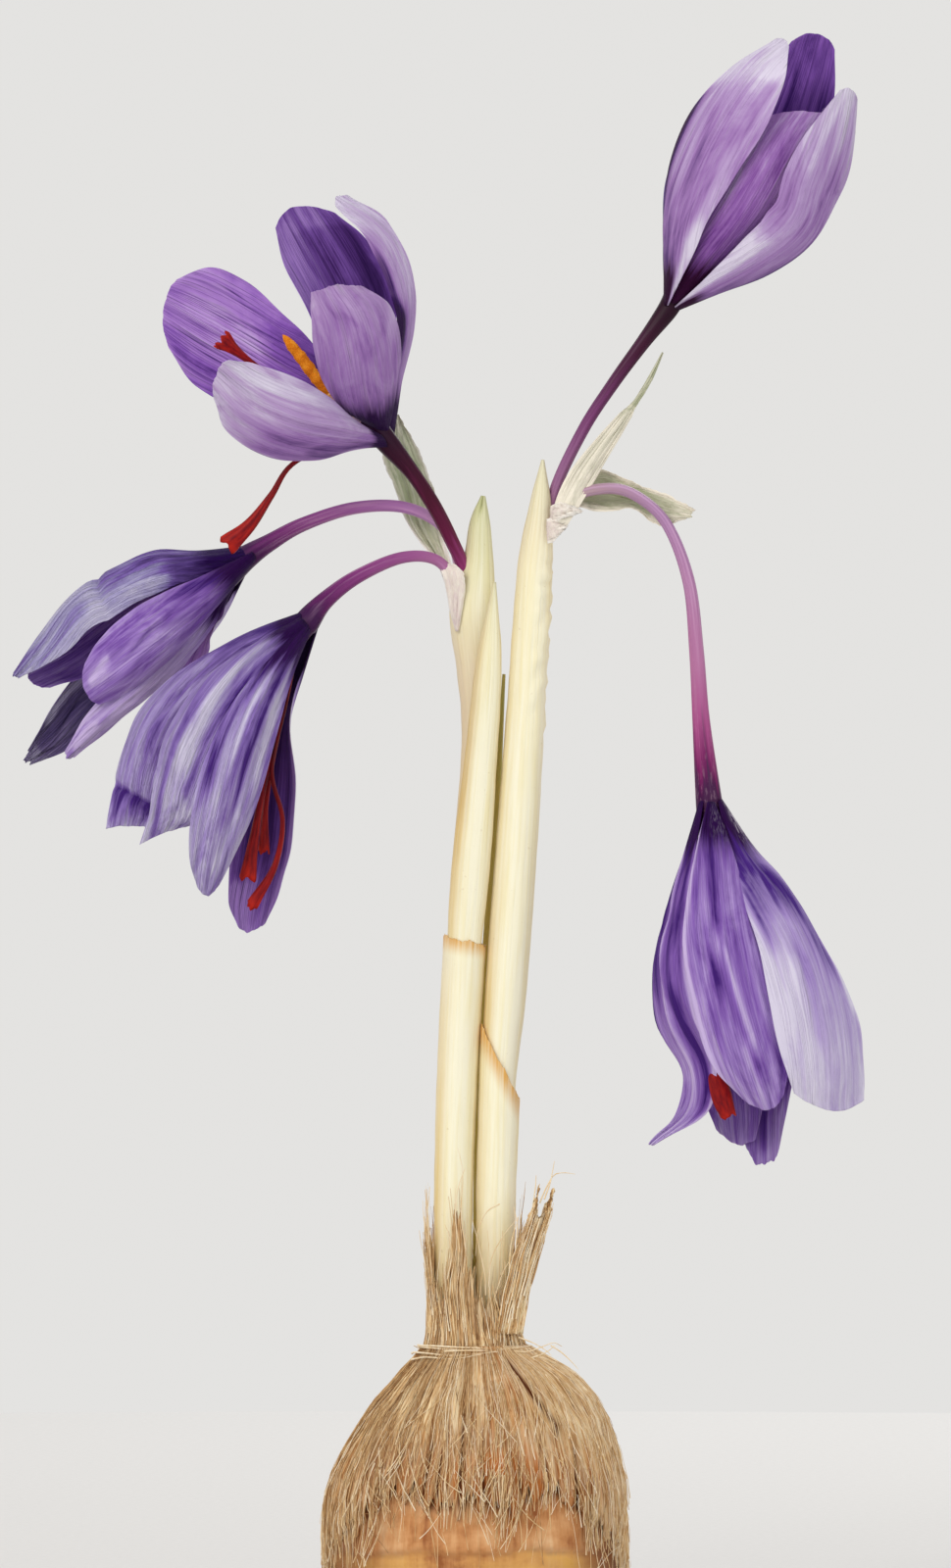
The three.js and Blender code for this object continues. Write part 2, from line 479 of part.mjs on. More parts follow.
    tepals: {
      outer_1: {
        first: [[24.9, 1.6, 175.6], [25.6, 1.6, 183], [26, 1, 192.4], [30, 0, 201.8],
          [36, -1.4, 207.4], [40.4, -3.6, 210]],
        second: [[25.4, 0.6, 175.8], [28.8, -5.4, 182], [32.4, -9, 190], [37, -10, 197.2],
          [40, -8.6, 203.8], [40.9, -4.4, 209.8]],
        bulge: [0.2, 1.4, 2.8, 3, 1.8, 0],
      },
      outer_2: {
        first: [[26.4, 0.7, 175.6], [31.6, -5, 180], [37, -8.6, 185.6], [40, -9.4, 192], [44, -8.4, 198.4],
          [48.5, -4, 203.6]],
        second: [[26.8, 2, 175.4], [34, 0.6, 178.4], [41.2, 0.2, 182.4], [46.4, -0.6, 189],
          [48.9, -1.4, 196], [49.4, -3.6, 203]],
        bulge: [0.2, 1.4, 2.8, 2.8, 1.6, 0],
      },
      inner_1: {
        first: [[25.7, 0.5, 176.4], [27.6, -3.4, 181], [31, -6.8, 189], [36, -8, 196], [41.6, -6.8, 200.6]],
        second: [[26.2, 0.6, 176.2], [32.4, -4.2, 181.5], [38.3, -7, 187.5], [42.4, -7.2, 194.5],
          [43.2, -6.6, 200.5]],
        bulge: [0.2, 0.8, 1.4, 1, 0],
      },
      inner_2: {
        first: [[24.9, 2.4, 176], [25.2, 4, 183], [25.8, 5.4, 192], [29.4, 6.4, 201], [35.4, 6, 206.4]],
        second: [[25.2, 3.2, 176.2], [26.8, 6.8, 184], [29, 8.4, 193], [32.6, 8, 201.4],
          [36.2, 5.6, 206.6]],
        bulge: [0.2, 1.2, 1.8, 1.2, 0],
      },
      outer_3: {
        first: [[25.6, 3.8, 176.2], [27.4, 8, 183], [30.4, 9.8, 193], [36, 8.6, 203], [43, 6, 211.2]],
        second: [[26.3, 3.8, 176], [33.6, 8.8, 181], [41.2, 10.2, 189], [46.8, 8.4, 199],
          [46.2, 6, 211.2]],
        bulge: [0.2, 1.4, 2.2, 1.6, 0],
      },
      inner_3: {
        first: [[26.3, 3.3, 175.8], [34.4, 6.6, 180.8], [41, 7.6, 188], [44.4, 6.6, 196],
          [46.2, 4.6, 202.4]],
        second: [[26.8, 2.8, 175.7], [36, 3.4, 180], [43.2, 3.4, 186.4], [47.4, 2.6, 194],
          [46.8, 4, 202.2]],
        bulge: [0.2, 1.2, 1.6, 1, 0],
      },
    },
  },
  {
    axis: [[30.4, -3, 110.5], [36, -4, 72]],
    stigmas: [
      [[30.6, -3.4, 108.6, 0.35], [30.4, -4.6, 95, 0.35], [30.1, -6, 84, 0.5], [30.9, -7, 76.5, 0.9, 0.5],
        [32.8, -7.4, 69, 1.3, 0.6]],
      [[30.6, -3.4, 108.6, 0.35], [32.6, -4, 95, 0.35], [34.4, -4.4, 84, 0.5], [35.4, -4.6, 76, 1.2, 0.5]],
      [[30.6, -3.4, 108.6, 0.35], [31.6, -2, 95, 0.35], [32.2, -1, 86, 0.5], [32.4, -0.6, 78, 1.2, 0.5]],
    ],
    stamens: fan([31, -1.6, 107.8], [36.6, -3, 88], 2.2, STAMEN_RADII),
    tepals: {
      outer_1: {
        first: [[31.8, -5, 109.6], [33.6, -10.4, 100], [36.7, -13.4, 91], [38.6, -14.4, 82],
          [40.7, -13, 74], [45.4, -10.4, 69.9], [49.6, -9, 70.8]],
        second: [[31.8, -4, 109.8], [37.6, -4.6, 101.6], [44.6, -4.6, 91], [48.6, -4.6, 82.5],
          [50, -5.6, 76], [50.2, -7.4, 72.4], [50, -8.6, 71]],
        bulge: [0.2, 2, 3.2, 3, 2, 1, 0],
      },
      inner_1: {
        first: [[30.4, -5, 109.4], [28.4, -8.8, 101], [27.2, -11.4, 92], [28.6, -12.6, 83.5],
          [31.6, -12.4, 75.6], [37.2, -10.4, 70.4]],
        second: [[31.2, -5.2, 109.4], [33.4, -9, 101], [36.2, -10.8, 91], [39.2, -11.6, 82],
          [40.6, -11.4, 75], [38.2, -10.4, 70.4]],
        bulge: [0.2, 1.2, 2, 1.8, 1, 0],
      },
      outer_2: {
        first: [[29.6, -3.4, 109.8], [26.8, -2, 101.5], [24.1, -1.6, 92], [23.3, -2, 83.5],
          [26.7, -3, 74.8], [26.2, -4.4, 69.6], [22.5, -5, 65.8]],
        second: [[29.9, -4.8, 109.8], [27.6, -7.4, 100.5], [26.6, -9.6, 91], [28, -10.4, 83],
          [30.3, -9.6, 75.8], [28.6, -7, 68.4], [22.9, -5.2, 65.6]],
        bulge: [0.2, 1, 1.6, 1.6, 1, 0.6, 0],
      },
      inner_2: {
        first: [[30, -2.2, 109.6], [27.8, 1.4, 100], [26.8, 3.6, 90], [27.8, 4.4, 80], [30.4, 3, 70.8],
          [33, 0.6, 65.6]],
        second: [[30.5, -1.8, 109.6], [31.4, 3, 100], [32.4, 6.2, 89], [33.6, 6.6, 79],
          [35.4, 4.4, 71], [34.2, 0.8, 65.6]],
        bulge: [0.2, 0.8, 1.4, 1.4, 1, 0],
      },
      outer_3: {
        first: [[30.9, -1.6, 109.6], [33.4, 3.4, 100], [35, 6.8, 89], [35.4, 6.8, 79], [35.4, 4, 69.4],
          [37, 1, 62.8]],
        second: [[31.5, -2, 109.7], [37, 1, 101], [42, 3.6, 90], [43.4, 3.4, 80], [41.2, 2.4, 71.4],
          [38.6, 1, 62.8]],
        bulge: [0.2, 1.2, 2, 2, 1.4, 0],
      },
      inner_3: {
        first: [[30.4, -1, 109.4], [29.6, 5.4, 99], [30, 9.6, 88], [31.4, 10.8, 79], [35, 8.6, 71.6]],
        second: [[30.9, -0.8, 109.4], [34.6, 5.8, 99], [38, 10, 88], [39.2, 10.8, 79], [36, 8.6, 71.4]],
        bulge: [0.2, 1, 1.6, 1.4, 0],
      },
    },
  },
];

// ---------- Flowers, shoots and papery pieces ----------

PERIANTH_TUBES.forEach((stations, i) => {
  add(`flower_${i + 1}_perianth_tube`, FINISH.perianthTube, rod(stations, { steps: stations.length + 2 }));
});
FLOWERS.forEach(({ stigmas, stamens }, i) => {
  const rods = (list, steps) => joined(list.map((stations) => rod(stations, { sides: 5, steps })));
  add(`flower_${i + 1}_style`, FINISH.stigma, rods(stigmas, 7));
  add(`flower_${i + 1}_stamens`, FINISH.anther, rods(stamens, 5));
});
for (const [name, stations] of Object.entries(SHOOTS)) {
  const finish = name === 'leaf_tip' ? FINISH.leaf : FINISH.sheath;
  add(name, finish, rod(stations, { sides: SHOOT_SIDES, steps: 12 }));
}
for (const [name, stations] of Object.entries(OUTER_SHEATHS)) {
  const slant = OUTER_SHEATH_SLANT[name];
  add(name, FINISH.sheath, rod(stations, { sides: SHOOT_SIDES, steps: 5, slant }));
}
for (const [name, edges] of Object.entries(BRACTS)) add(name, FINISH.bract, blade(edges, PAPER_THICKNESS));
FLOWERS.forEach(({ axis, tepals }, i) => {
  const [throat, mouth] = axis.map(vector);
  const core = new THREE.Line3(throat, mouth);
  for (const [place, edges] of Object.entries(tepals)) {
    const middle = vector(edges.first[2]).add(vector(edges.second[2])).multiplyScalar(0.5);
    const outside = middle.clone().sub(core.closestPointToPoint(middle, false, new THREE.Vector3()));
    const shape = blade({ ...edges, outside: outside.toArray() }, TEPAL_THICKNESS);
    const [whorl, number] = place.split('_');
    add(`flower_${i + 1}_${whorl}_tepal_${number}`, FINISH.tepal, shape);
  }
});

// ---------- Coats of the corm ----------

add('tunic', FINISH.tunic, (grow) => {
  const lowest = TUNIC_PROFILE[0][1];
  const highest = TUNIC_PROFILE.at(-1)[1];
  const outside = TUNIC_PROFILE.map(([r, z]) => [r + grow, z]);
  const inside = TUNIC_PROFILE.map(([r, z]) => [r - TUNIC_WALL - grow, z]).reverse();
  const shell = turned([...outside, ...inside, outside[0]]);
  return warp(shell, (x, y, z) => {
    const rise = tornEdge(Math.atan2(y, x)) - lowest;
    const share = (highest - z) / (highest - lowest);
    return new THREE.Vector3(x, y, z + rise * share ** 2);
  });
});

add('tunic_neck', FINISH.tunic, rod(NECK, { sides: 16, steps: 4 }));

add('neck_binding', FINISH.tunic, (grow) => {
  const swell = (point) => point.map((value, i) => value + grow * Math.sign(value - BINDING_MIDDLE[i]));
  return turned([...BINDING, BINDING[0]].map(swell));
});

add('tunic_flap', FINISH.tunic, blade(TUNIC_FLAP, PAPER_THICKNESS));

export default group;
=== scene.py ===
"""Saffron crocus (Crocus sativus) lifted with its corm: five flowers on two pale sheathed shoots.

Sizes are in millimetres until a mesh is made, +Z is up, -Y is the front, and the origin is the middle of the
flat basal face that the corm rests on. Each sub-assembly is a class: Corm, Tunic, Shoots, Bracts and Flower.
"""

from __future__ import annotations

import logging
import math
from dataclasses import dataclass, field
from enum import Enum
from functools import partial
from typing import Callable, Sequence

import bmesh
import bpy
import numpy as np
from bpy.types import Material, Mesh, NodeSocket, NodeTree, Object
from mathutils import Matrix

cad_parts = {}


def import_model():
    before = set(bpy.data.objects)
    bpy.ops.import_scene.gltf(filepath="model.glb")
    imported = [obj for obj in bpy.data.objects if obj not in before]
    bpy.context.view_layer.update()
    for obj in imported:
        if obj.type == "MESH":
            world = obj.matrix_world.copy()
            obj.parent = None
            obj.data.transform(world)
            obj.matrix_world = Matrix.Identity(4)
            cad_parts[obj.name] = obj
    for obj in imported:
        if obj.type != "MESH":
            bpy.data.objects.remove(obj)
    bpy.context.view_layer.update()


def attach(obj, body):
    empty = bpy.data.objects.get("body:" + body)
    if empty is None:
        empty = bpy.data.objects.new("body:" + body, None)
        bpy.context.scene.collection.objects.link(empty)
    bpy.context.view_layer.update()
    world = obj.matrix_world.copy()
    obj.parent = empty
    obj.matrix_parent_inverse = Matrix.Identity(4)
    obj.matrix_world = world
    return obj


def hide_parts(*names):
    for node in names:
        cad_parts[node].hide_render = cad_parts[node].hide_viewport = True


LOG = logging.getLogger("crocus")
MM = 0.001
TURN = 2 * math.pi
NOISE_LOW, NOISE_HIGH = 0.29, 0.71  # nearly all of a noise pattern lies between these values
Array = np.ndarray
Point = tuple[float, ...]
Line = Sequence[Point]
Pairs = Sequence[tuple[float, float]]
Stops = Sequence[tuple[float, str]]  # places on a ramp and their colours


class Slot(Enum):
    """Material slots of the record."""

    TEPAL = "tepal"
    TUBE = "floral_tube"
    STIGMA = "stigma"
    ANTHER = "anther"
    SHEATH = "sheath"
    BRACT = "bract"
    LEAF = "leaf"
    FIBRE = "tunic_fibre"
    CORM = "corm_flesh"


# ---------- Colours and shader nodes ----------


def linear(code: str) -> tuple[float, float, float, float]:
    """Turns an sRGB hex colour into linear RGBA.

    Args:
        code: six hex digits.

    Returns:
        The colour as linear light, with alpha 1.
    """
    channels = [int(code[i : i + 2], 16) / 255 for i in (0, 2, 4)]
    red, green, blue = [c / 12.92 if c <= 0.04045 else ((c + 0.055) / 1.055) ** 2.4 for c in channels]
    return red, green, blue, 1.0


def add_node(tree: NodeTree, kind: str, links: dict | None = None, out: int | str = 0,
             stops: Stops = (), **settings: object) -> NodeSocket | None:
    """Adds a node to a tree, with its settings and its inputs.

    Args:
        tree: the tree that the node joins.
        kind: the node's type name.
        links: input name or number to a value, or to the output socket that feeds it.
        out: name or number of the output that is wanted.
        stops: (position, hex colour) stops, where the node has a colour ramp.
        settings: attributes of the node.

    Returns:
        The wanted output, or None for a node without outputs.
    """
    node = tree.nodes.new(kind)
    for key, value in settings.items():
        setattr(node, key, value)
    for key, value in (links or {}).items():
        if isinstance(value, NodeSocket):
            tree.links.new(value, node.inputs[key])
        else:
            node.inputs[key].default_value = value
    for _ in stops[2:]:
        node.color_ramp.elements.new(0.5)
    for i, (position, code) in enumerate(stops):
        node.color_ramp.elements[i].position = position
        node.color_ramp.elements[i].color = linear(code)
    return node.outputs[out] if node.outputs else None


class Paint:
    """A procedural material under construction on one Principled shader."""

    def __init__(self, name: str, **plain: float) -> None:
        """Starts the material.

        Args:
            name: the material's name.
            plain: values on the shader's own sockets, with _ for a space.
        """
        self.material = bpy.data.materials.new(name)
        self.material.use_nodes = True
        self.tree = self.material.node_tree
        self.shader = self.tree.nodes["Principled BSDF"]
        self.add = partial(add_node, self.tree)
        for key, value in plain.items():
            self.shader.inputs[key.replace("_", " ")].default_value = value

    def patterns(self, noises: Sequence[Noise]) -> list[NodeSocket]:
        """Adds noise patterns, scaled on the body or on the mark place, which follows the surface.

        Args:
            noises: the patterns.

        Returns:
            The output of each.
        """
        made = []
        for noise in noises:
            source = (self.add("ShaderNodeTexCoord", out="Object") if noise.on_body else
                      self.add("ShaderNodeAttribute", out="Vector", attribute_name="place"))
            scaled = self.add("ShaderNodeMapping", {"Vector": source, "Scale": noise.size})
            made.append(self.add("ShaderNodeTexNoise", {
                "Vector": scaled, "Scale": 1.0, "Detail": noise.detail, "Roughness": noise.rough,
                "Distortion": noise.twist}, out="Fac"))
        return made

    def vary(self, level: NodeSocket | float, pattern: NodeSocket, low: float, high: float) -> NodeSocket:
        """Level moved by a pattern: by low where the pattern is low, by high where it is high."""
        shift = self.add("ShaderNodeMapRange", {
            0: pattern, 1: NOISE_LOW, 2: NOISE_HIGH, 3: low, 4: high})
        return self.add("ShaderNodeMath", {0: level, 1: shift}, operation="ADD")

    def tint(self, colour: NodeSocket, tint: Tint, pattern: NodeSocket, *shares: NodeSocket) -> NodeSocket:
        """Lays a tint over a colour.

        Args:
            colour: colour under it.
            tint: the tint.
            pattern: pattern that it follows.
            shares: other shares that cut it back.

        Returns:
            The colour with the tint over it.
        """
        share = self.add("ShaderNodeMapRange", {
            0: pattern, 1: tint.span[0], 2: tint.span[1], 3: tint.share[0], 4: tint.share[1]})
        if tint.mark:
            shares = (*shares, self.add("ShaderNodeAttribute", out="Fac", attribute_name=tint.mark))
        for other in shares:
            share = self.add("ShaderNodeMath", {0: share, 1: other}, operation="MULTIPLY", use_clamp=True)
        over = linear(tint.code)
        return self.add("ShaderNodeMix", {0: share, 6: colour, 7: over}, out=2, data_type="RGBA")

    def finish(self, colour: NodeSocket, pattern: NodeSocket, rough: Point,
               heights: Sequence[tuple[NodeSocket, float]], relief: float) -> Material:
        """Joins colour, roughness and relief to the shader.

        Args:
            colour: base colour.
            pattern: pattern that the roughness follows.
            rough: roughness where the pattern is low and where it is high.
            heights: patterns of the relief, with the share of each.
            relief: millimetres that a height of 1 stands for.

        Returns:
            The finished material.
        """
        roughness = self.add("ShaderNodeMapRange", {0: pattern, 1: 0.2, 2: 0.8, 3: rough[0], 4: rough[1]})
        height = 0.0
        for part, share in heights:
            height = self.add("ShaderNodeMath", {0: part, 1: share, 2: height}, operation="MULTIPLY_ADD")
        normal = self.add("ShaderNodeBump", {"Strength": 1.0, "Distance": relief * MM, "Height": height})
        for socket, value in (("Base Color", colour), ("Roughness", roughness), ("Normal", normal)):
            self.tree.links.new(value, self.shader.inputs[socket])
        return self.material


# Each mesh carries the mark "place": (across, along, number) on a blade, and (cosine, sine, along) of the
# turn round a rod. Patterns are scaled on it, so they follow the surface and have no seam.


@dataclass(frozen=True)
class Noise:
    """Noise pattern, with its repeats along each axis of the mark place, or a metre of the body."""

    size: Point
    detail: float = 3.0
    rough: float = 0.5
    twist: float = 0.0
    on_body: bool = False


@dataclass(frozen=True)
class Tint:
    """Tint of as much as a mark says, times the share given by a pattern between the two values of span."""

    code: str
    pattern: int = 0
    span: Point = (0.3, 0.7)
    share: Point = (0.0, 1.0)
    mark: str = ""


@dataclass(frozen=True)
class Finish:
    """Material of colours in a ramp, under tints. Its first pattern also gives the roughness."""

    name: str
    stops: Stops
    noises: Sequence[Noise]
    level: Sequence[tuple[int, float, float]]  # place on the ramp: pattern, and what its lows and highs add
    rough: Point  # at the lows and the highs
    relief: float  # mm
    heights: Point = (1.0,)  # share of each pattern in the relief
    mark: str = ""  # mark that the place on the ramp starts from
    tints: Sequence[Tint] = ()
    ior: float = 1.45
    specular: float = 0.3
    coat: float = 0.0
    coat_rough: float = 0.3
    sheen: float = 0.0

    def material(self) -> Material:
        """Makes the material.

        Returns:
            The material, over its marks.
        """
        paint = Paint(self.name, IOR=self.ior, Specular_IOR_Level=self.specular, Coat_Weight=self.coat,
                      Coat_Roughness=self.coat_rough, Sheen_Weight=self.sheen)
        patterns = paint.patterns(self.noises)
        level = paint.add("ShaderNodeAttribute", out="Fac", attribute_name=self.mark) if self.mark else 0.0
        for number, low, high in self.level:
            level = paint.vary(level, patterns[number], low, high)
        colour = paint.add("ShaderNodeValToRGB", {0: level}, stops=self.stops)
        for tint in self.tints:
            colour = paint.tint(colour, tint, patterns[tint.pattern])
        return paint.finish(colour, patterns[0], self.rough, list(zip(patterns, self.heights)), self.relief)


@dataclass(frozen=True)
class TepalTissue:
    """Fresh petal: a thin film of pigmented cells with a soft velvet sheen, veined lengthwise.

    The cells' small domes scatter light, so it is matt with a faint sheen. The veins are about 0.5 mm apart.
    """

    name: str
    colours: str  # deep, body, light and pale pigment, the veins and the throat
    streak: float = 0.4  # how much the pigment varies in lengthwise streaks
    mottle: float = 0.34  # how much it varies in broad mottles
    veins: float = 40.0  # veins across a tepal
    rough: float = 0.6
    relief: float = 0.14  # mm

    def material(self) -> Material:
        """Makes the tissue's material.

        Returns:
            The material, over the marks tone, veining, flush and fleck that a tepal carries.
        """
        paint = Paint(self.name, IOR=1.4, Sheen_Weight=0.02, Sheen_Roughness=0.5, Specular_IOR_Level=0.08)
        add = paint.add
        deep, body, light, pale, vein, throat = self.colours.split()
        broad, streaks, fine, threads, specks, cells = paint.patterns((
            Noise((4.2, 3.2, 3.0), 4.0, 0.6, 0.9), Noise((9.5, 1.5, 5.0), 3.0, 0.6, 0.9),
            Noise((60.0, 2.2, 7.0), 2.0, 0.6, 0.1), Noise((self.veins, 0.9, 2.0), 0.0, 0.6, 0.6),
            Noise((60.0, 40.0, 9.0), 3.0, 0.6, 0.2), Noise((220.0, 60.0, 4.0), 1.0, 0.6)))
        tone = add("ShaderNodeAttribute", out="Fac", attribute_name="tone")
        for pattern, reach in ((broad, self.mottle), (streaks, self.streak), (fine, 0.12)):
            tone = paint.vary(tone, pattern, -reach, reach)
        level = add("ShaderNodeMapRange", {0: tone, 1: -1.0, 2: 1.0})
        stops = ((0.08, deep), (0.4, body), (0.66, light), (0.92, pale))
        colour = add("ShaderNodeValToRGB", {0: level}, stops=stops)
        line = add("ShaderNodeMath", {0: threads, 1: 0.5}, operation="SUBTRACT")
        line = add("ShaderNodeMath", {0: line}, operation="ABSOLUTE")
        line = add("ShaderNodeMapRange", {0: line, 1: 0.0, 2: 0.075, 3: 1.0, 4: 0.0})
        veined = Tint(vein, span=(0.35, 0.65), share=(0.35, 1.0), mark="veining")
        colour = paint.tint(colour, veined, fine, line)
        edge = add("ShaderNodeAttribute", out="Fac", attribute_name="flush")
        for pattern, share in ((streaks, 1.1), (fine, 0.7)):
            edge = add("ShaderNodeMath", {0: pattern, 1: share, 2: edge}, operation="MULTIPLY_ADD")
        colour = paint.tint(colour, Tint(throat, span=(1.0, 1.5)), edge)
        colour = paint.tint(colour, Tint("c8bdd0", span=(0.5, 0.6), mark="fleck"), specks)
        heights = ((streaks, 1.0), (line, -0.25), (cells, 0.3), (broad, 1.2))
        return paint.finish(colour, streaks, (self.rough + 0.08, self.rough - 0.08), heights, self.relief)


class Tissue(Enum):
    """Petal tissues of the five flowers, by the face and the age of the tepal, some darkened with painted
    shade and some paled with painted highlights.
    """

    LILAC = TepalTissue("petal_lilac_outer_face", "42207a a088c6 bbacd6 d6d0e6 7c5aa8 2a0640", 0.3)
    VIOLET = TepalTissue("petal_violet_inner_face", "3a1a66 8658b4 a87fcb c4a8de 3a1866 26063e", 0.3, 0.3,
                         46)
    # Darker copy of the violet inner face: painted shade for inner faces that lie in shadow.
    DUSKY_SHADED = TepalTissue("petal_dusky_inner_face", "260a44 523078 7650a2 9c7ac2 240842 1c0430", 0.35,
                        0.35, 46)
    MAUVE = TepalTissue("petal_mauve_outer_face", "3e1c70 805aae a386ca c6b2e0 542a8c 2a0444", 0.4, 0.42)
    # Its pale streaks are partly the wilting tepal's own pale bloom and partly painted highlights along its
    # folds.
    FROSTED_HIGHLIT = TepalTissue("petal_frosted_outer_face", "38205e 785cac a29aca c6c2de 4c3084 2a0a50", 0.4, 0.5,
                          relief=0.4)
    # Its pale streaks are partly the tepal's own pigment and partly painted highlights along its folds.
    STREAKED_HIGHLIT = TepalTissue("petal_streaked_outer_face", "46247c 8c70bc b0a0d4 d4cee8 5c3c94 30084e", 0.38,
                           0.5, relief=0.4)
    # Dry grey face, partly darkened with painted shade.
    DRY = TepalTissue("petal_dry_grey_face", "2e2248 54467a 726490 aaa4c2 20163c 1a0c2c", 0.4, 0.4,
                      rough=0.5, relief=0.4)
    SMOOTH = TepalTissue("petal_smooth_pink_lilac", "3a1860 9a72b4 b89ccc dcd4ea 6c4490 2a0a40", 0.16, 0.3)
    PINK = TepalTissue("petal_pink_lilac_outer_face", "3a1860 9c76b4 b69ccb d8d0e6 8656a2 300a30", 0.35)
    MAGENTA = TepalTissue("petal_magenta_violet_outer_face", "40145a 8452a2 a67cc0 c8b4dc 5a2e84 340832")


LILAC, VIOLET, DUSKY_SHADED, MAUVE, FROSTED_HIGHLIT, STREAKED_HIGHLIT, DRY, SMOOTH, PINK, MAGENTA = Tissue


def tube_tissue(name: str, stops: Stops, streak: str = "d9a9cf", strength: float = 0.6) -> Finish:
    """Floral tube: a firm, slightly glossy hollow stalk with lengthwise streaks of pigment 0.4 mm wide.

    Args:
        name: the material's name.
        stops: its colours along the tube.
        streak: colour of the pale streaks.
        strength: how strong they are.

    Returns:
        Its finish, over the marks along, fade and fleck.
    """
    noises = (Noise((1.7, 1.7, 4.0), rough=0.6), Noise((4.0, 4.0, 60.0), rough=0.6))
    tints = (Tint(streak, 0, (0.5, 0.68), (0.0, strength), "fade"),
             Tint("e8c4d8", 1, (0.54, 0.64), (0.0, 0.75), "fleck"))
    return Finish(name, stops, noises, ((0, -0.05, 0.05),), (0.5, 0.36), 0.09, mark="along", tints=tints,
                  ior=1.4, specular=0.2, coat=0.03)


def bract_skin(name: str, fresh: str, dry: str, edge: str) -> Finish:
    """Bract: a thin dry membrane, pale green where it is fresh, silvery and tan where it has dried.

    Args:
        name: the material's name.
        fresh: colour of the fresh part.
        dry: colour of the dry part.
        edge: colour of its crisp margins, and of its veins, which are about 0.5 mm apart.

    Returns:
        Its finish, over the mark dry.
    """
    noises = (Noise((7.0, 8.0, 6.0), 4.0, 0.62, 0.8), Noise((26.0, 1.2, 2.0), 4.0, 0.62, 0.1))
    veins = Tint(edge, 1, (0.52, 0.7), (0.0, 0.45))
    stops = ((0.1, fresh), (0.6, dry), (1.0, edge))
    return Finish(name, stops, noises, ((0, -0.3, 0.4),), (0.36, 0.6), 0.15, (1.0, 0.5), "dry", (veins,),
                  specular=0.5, coat=0.2)


def fibre_mat(name: str, bundles: float) -> Finish:
    """Corm coat: matted dry fibres, tan to grey-brown, dull, orange where thin, with painted shade where
    they part.

    Its bundles are about 0.8 mm wide and its fibres about 0.25 mm apart.

    Args:
        name: the material's name.
        bundles: bundles of fibres across the piece.

    Returns:
        Its finish, over the marks gap and thin.
    """
    noises = [Noise((bundles * share, bundles * share, along), 3.0, 0.62, 0.4)
              for share, along in ((1.0, 2.6), (2.8, 5.0), (1 / 9, 2.2))]
    stops = ((0.02, "784c2a"), (0.28, "c09664"), (0.52, "e2bc88"), (0.82, "f6e4bc"))
    tints = (Tint("b39c8c", 3, (0.48, 0.66), (0.0, 0.3)), Tint("b8713a", 0, share=(1.3, 0.5), mark="thin"),
             # painted shade: dark brown in the gaps between the fibres
             Tint("5e2c10", 0, share=(1.3, 1.0), mark="gap"))
    return Finish(name, stops, (*noises, Noise((150.0,) * 3, 2.0, on_body=True)),
                  ((2, -0.22, 0.22), (0, 0.05, 1.0), (1, -0.25, 0.25)), (0.95, 0.8), 0.3, (1.0, 0.5),
                  tints=tints, ior=1.5, specular=0.2)


def plain_skin(name: str, stops: Stops, size: Point, rough: float, relief: float) -> Finish:
    """Finish that one mottling colours in its body.

    Args:
        name: the material's name.
        stops: its colours, over the mark tone.
        size: mottles a metre along each axis.
        rough: its roughness.
        relief: millimetres of the mottling.

    Returns:
        The finish.
    """
    return Finish(name, stops, (Noise(size, 2.0, on_body=True),), ((0, -0.18, 0.18),),
                  (rough + 0.1, rough - 0.1), relief, mark="tone", ior=1.47)


# Dry fibre of the coat: dull, tan, with darker and bleached ones. Its mottles are about 0.7 mm long.
DRY_FIBRE = plain_skin(
    "corm_coat_dry_fibre", ((0.0, "86603c"), (0.3, "c69c6a"), (0.6, "e8ca98"), (1.0, "fbeed4")),
    (1400.0, 1400.0, 500.0), 0.8, 0.03)
# Filament: a thin moist stalk, pale violet at its foot and yellow under the anther.
FILAMENT = plain_skin(
    "stamen_filament_pale_violet", ((0.0, "a878b8"), (0.5, "d8b4d0"), (1.0, "e8b060")),
    (1500.0, 1500.0, 900.0), 0.5, 0.03)
# Young leaf: smooth olive green with faint ribs about 0.5 mm apart.
YOUNG_LEAF = plain_skin(
    "young_leaf_olive", ((0.0, "9a8640"), (0.5, "b8a45c"), (1.0, "a4a564")),
    (2000.0, 2000.0, 60.0), 0.5, 0.05)
# Saffron stigma: a moist crimson thread, velvety with papillae, darker at its foot and paler at its lip.
CRIMSON = Finish(
    "saffron_stigma_crimson", ((0.0, "3a0210"), (0.45, "7c0510"), (1.0, "b01c0e")),
    (Noise((2.2, 2.2, 10.0)), Noise((9.0, 9.0, 90.0))), ((0, -0.35, 0.3),), (0.55, 0.4), 0.08,
    (0.0, 1.0), "tone", ior=1.4, specular=0.2, coat=0.06, coat_rough=0.25)
# Anther and its pollen: a matt, grainy yellow-orange, with grains about 0.1 mm across.
POLLEN = Finish(
    "anther_pollen_orange", ((0.3, "b4560a"), (0.5, "ee8a10"), (0.7, "ffb53a")),
    (Noise((9000.0,) * 3, 2.0, on_body=True), Noise((900.0,) * 3, 2.0, on_body=True)),
    ((0, 0.145, 0.355), (1, 0.145, 0.355)), (0.95, 0.8), 0.12)
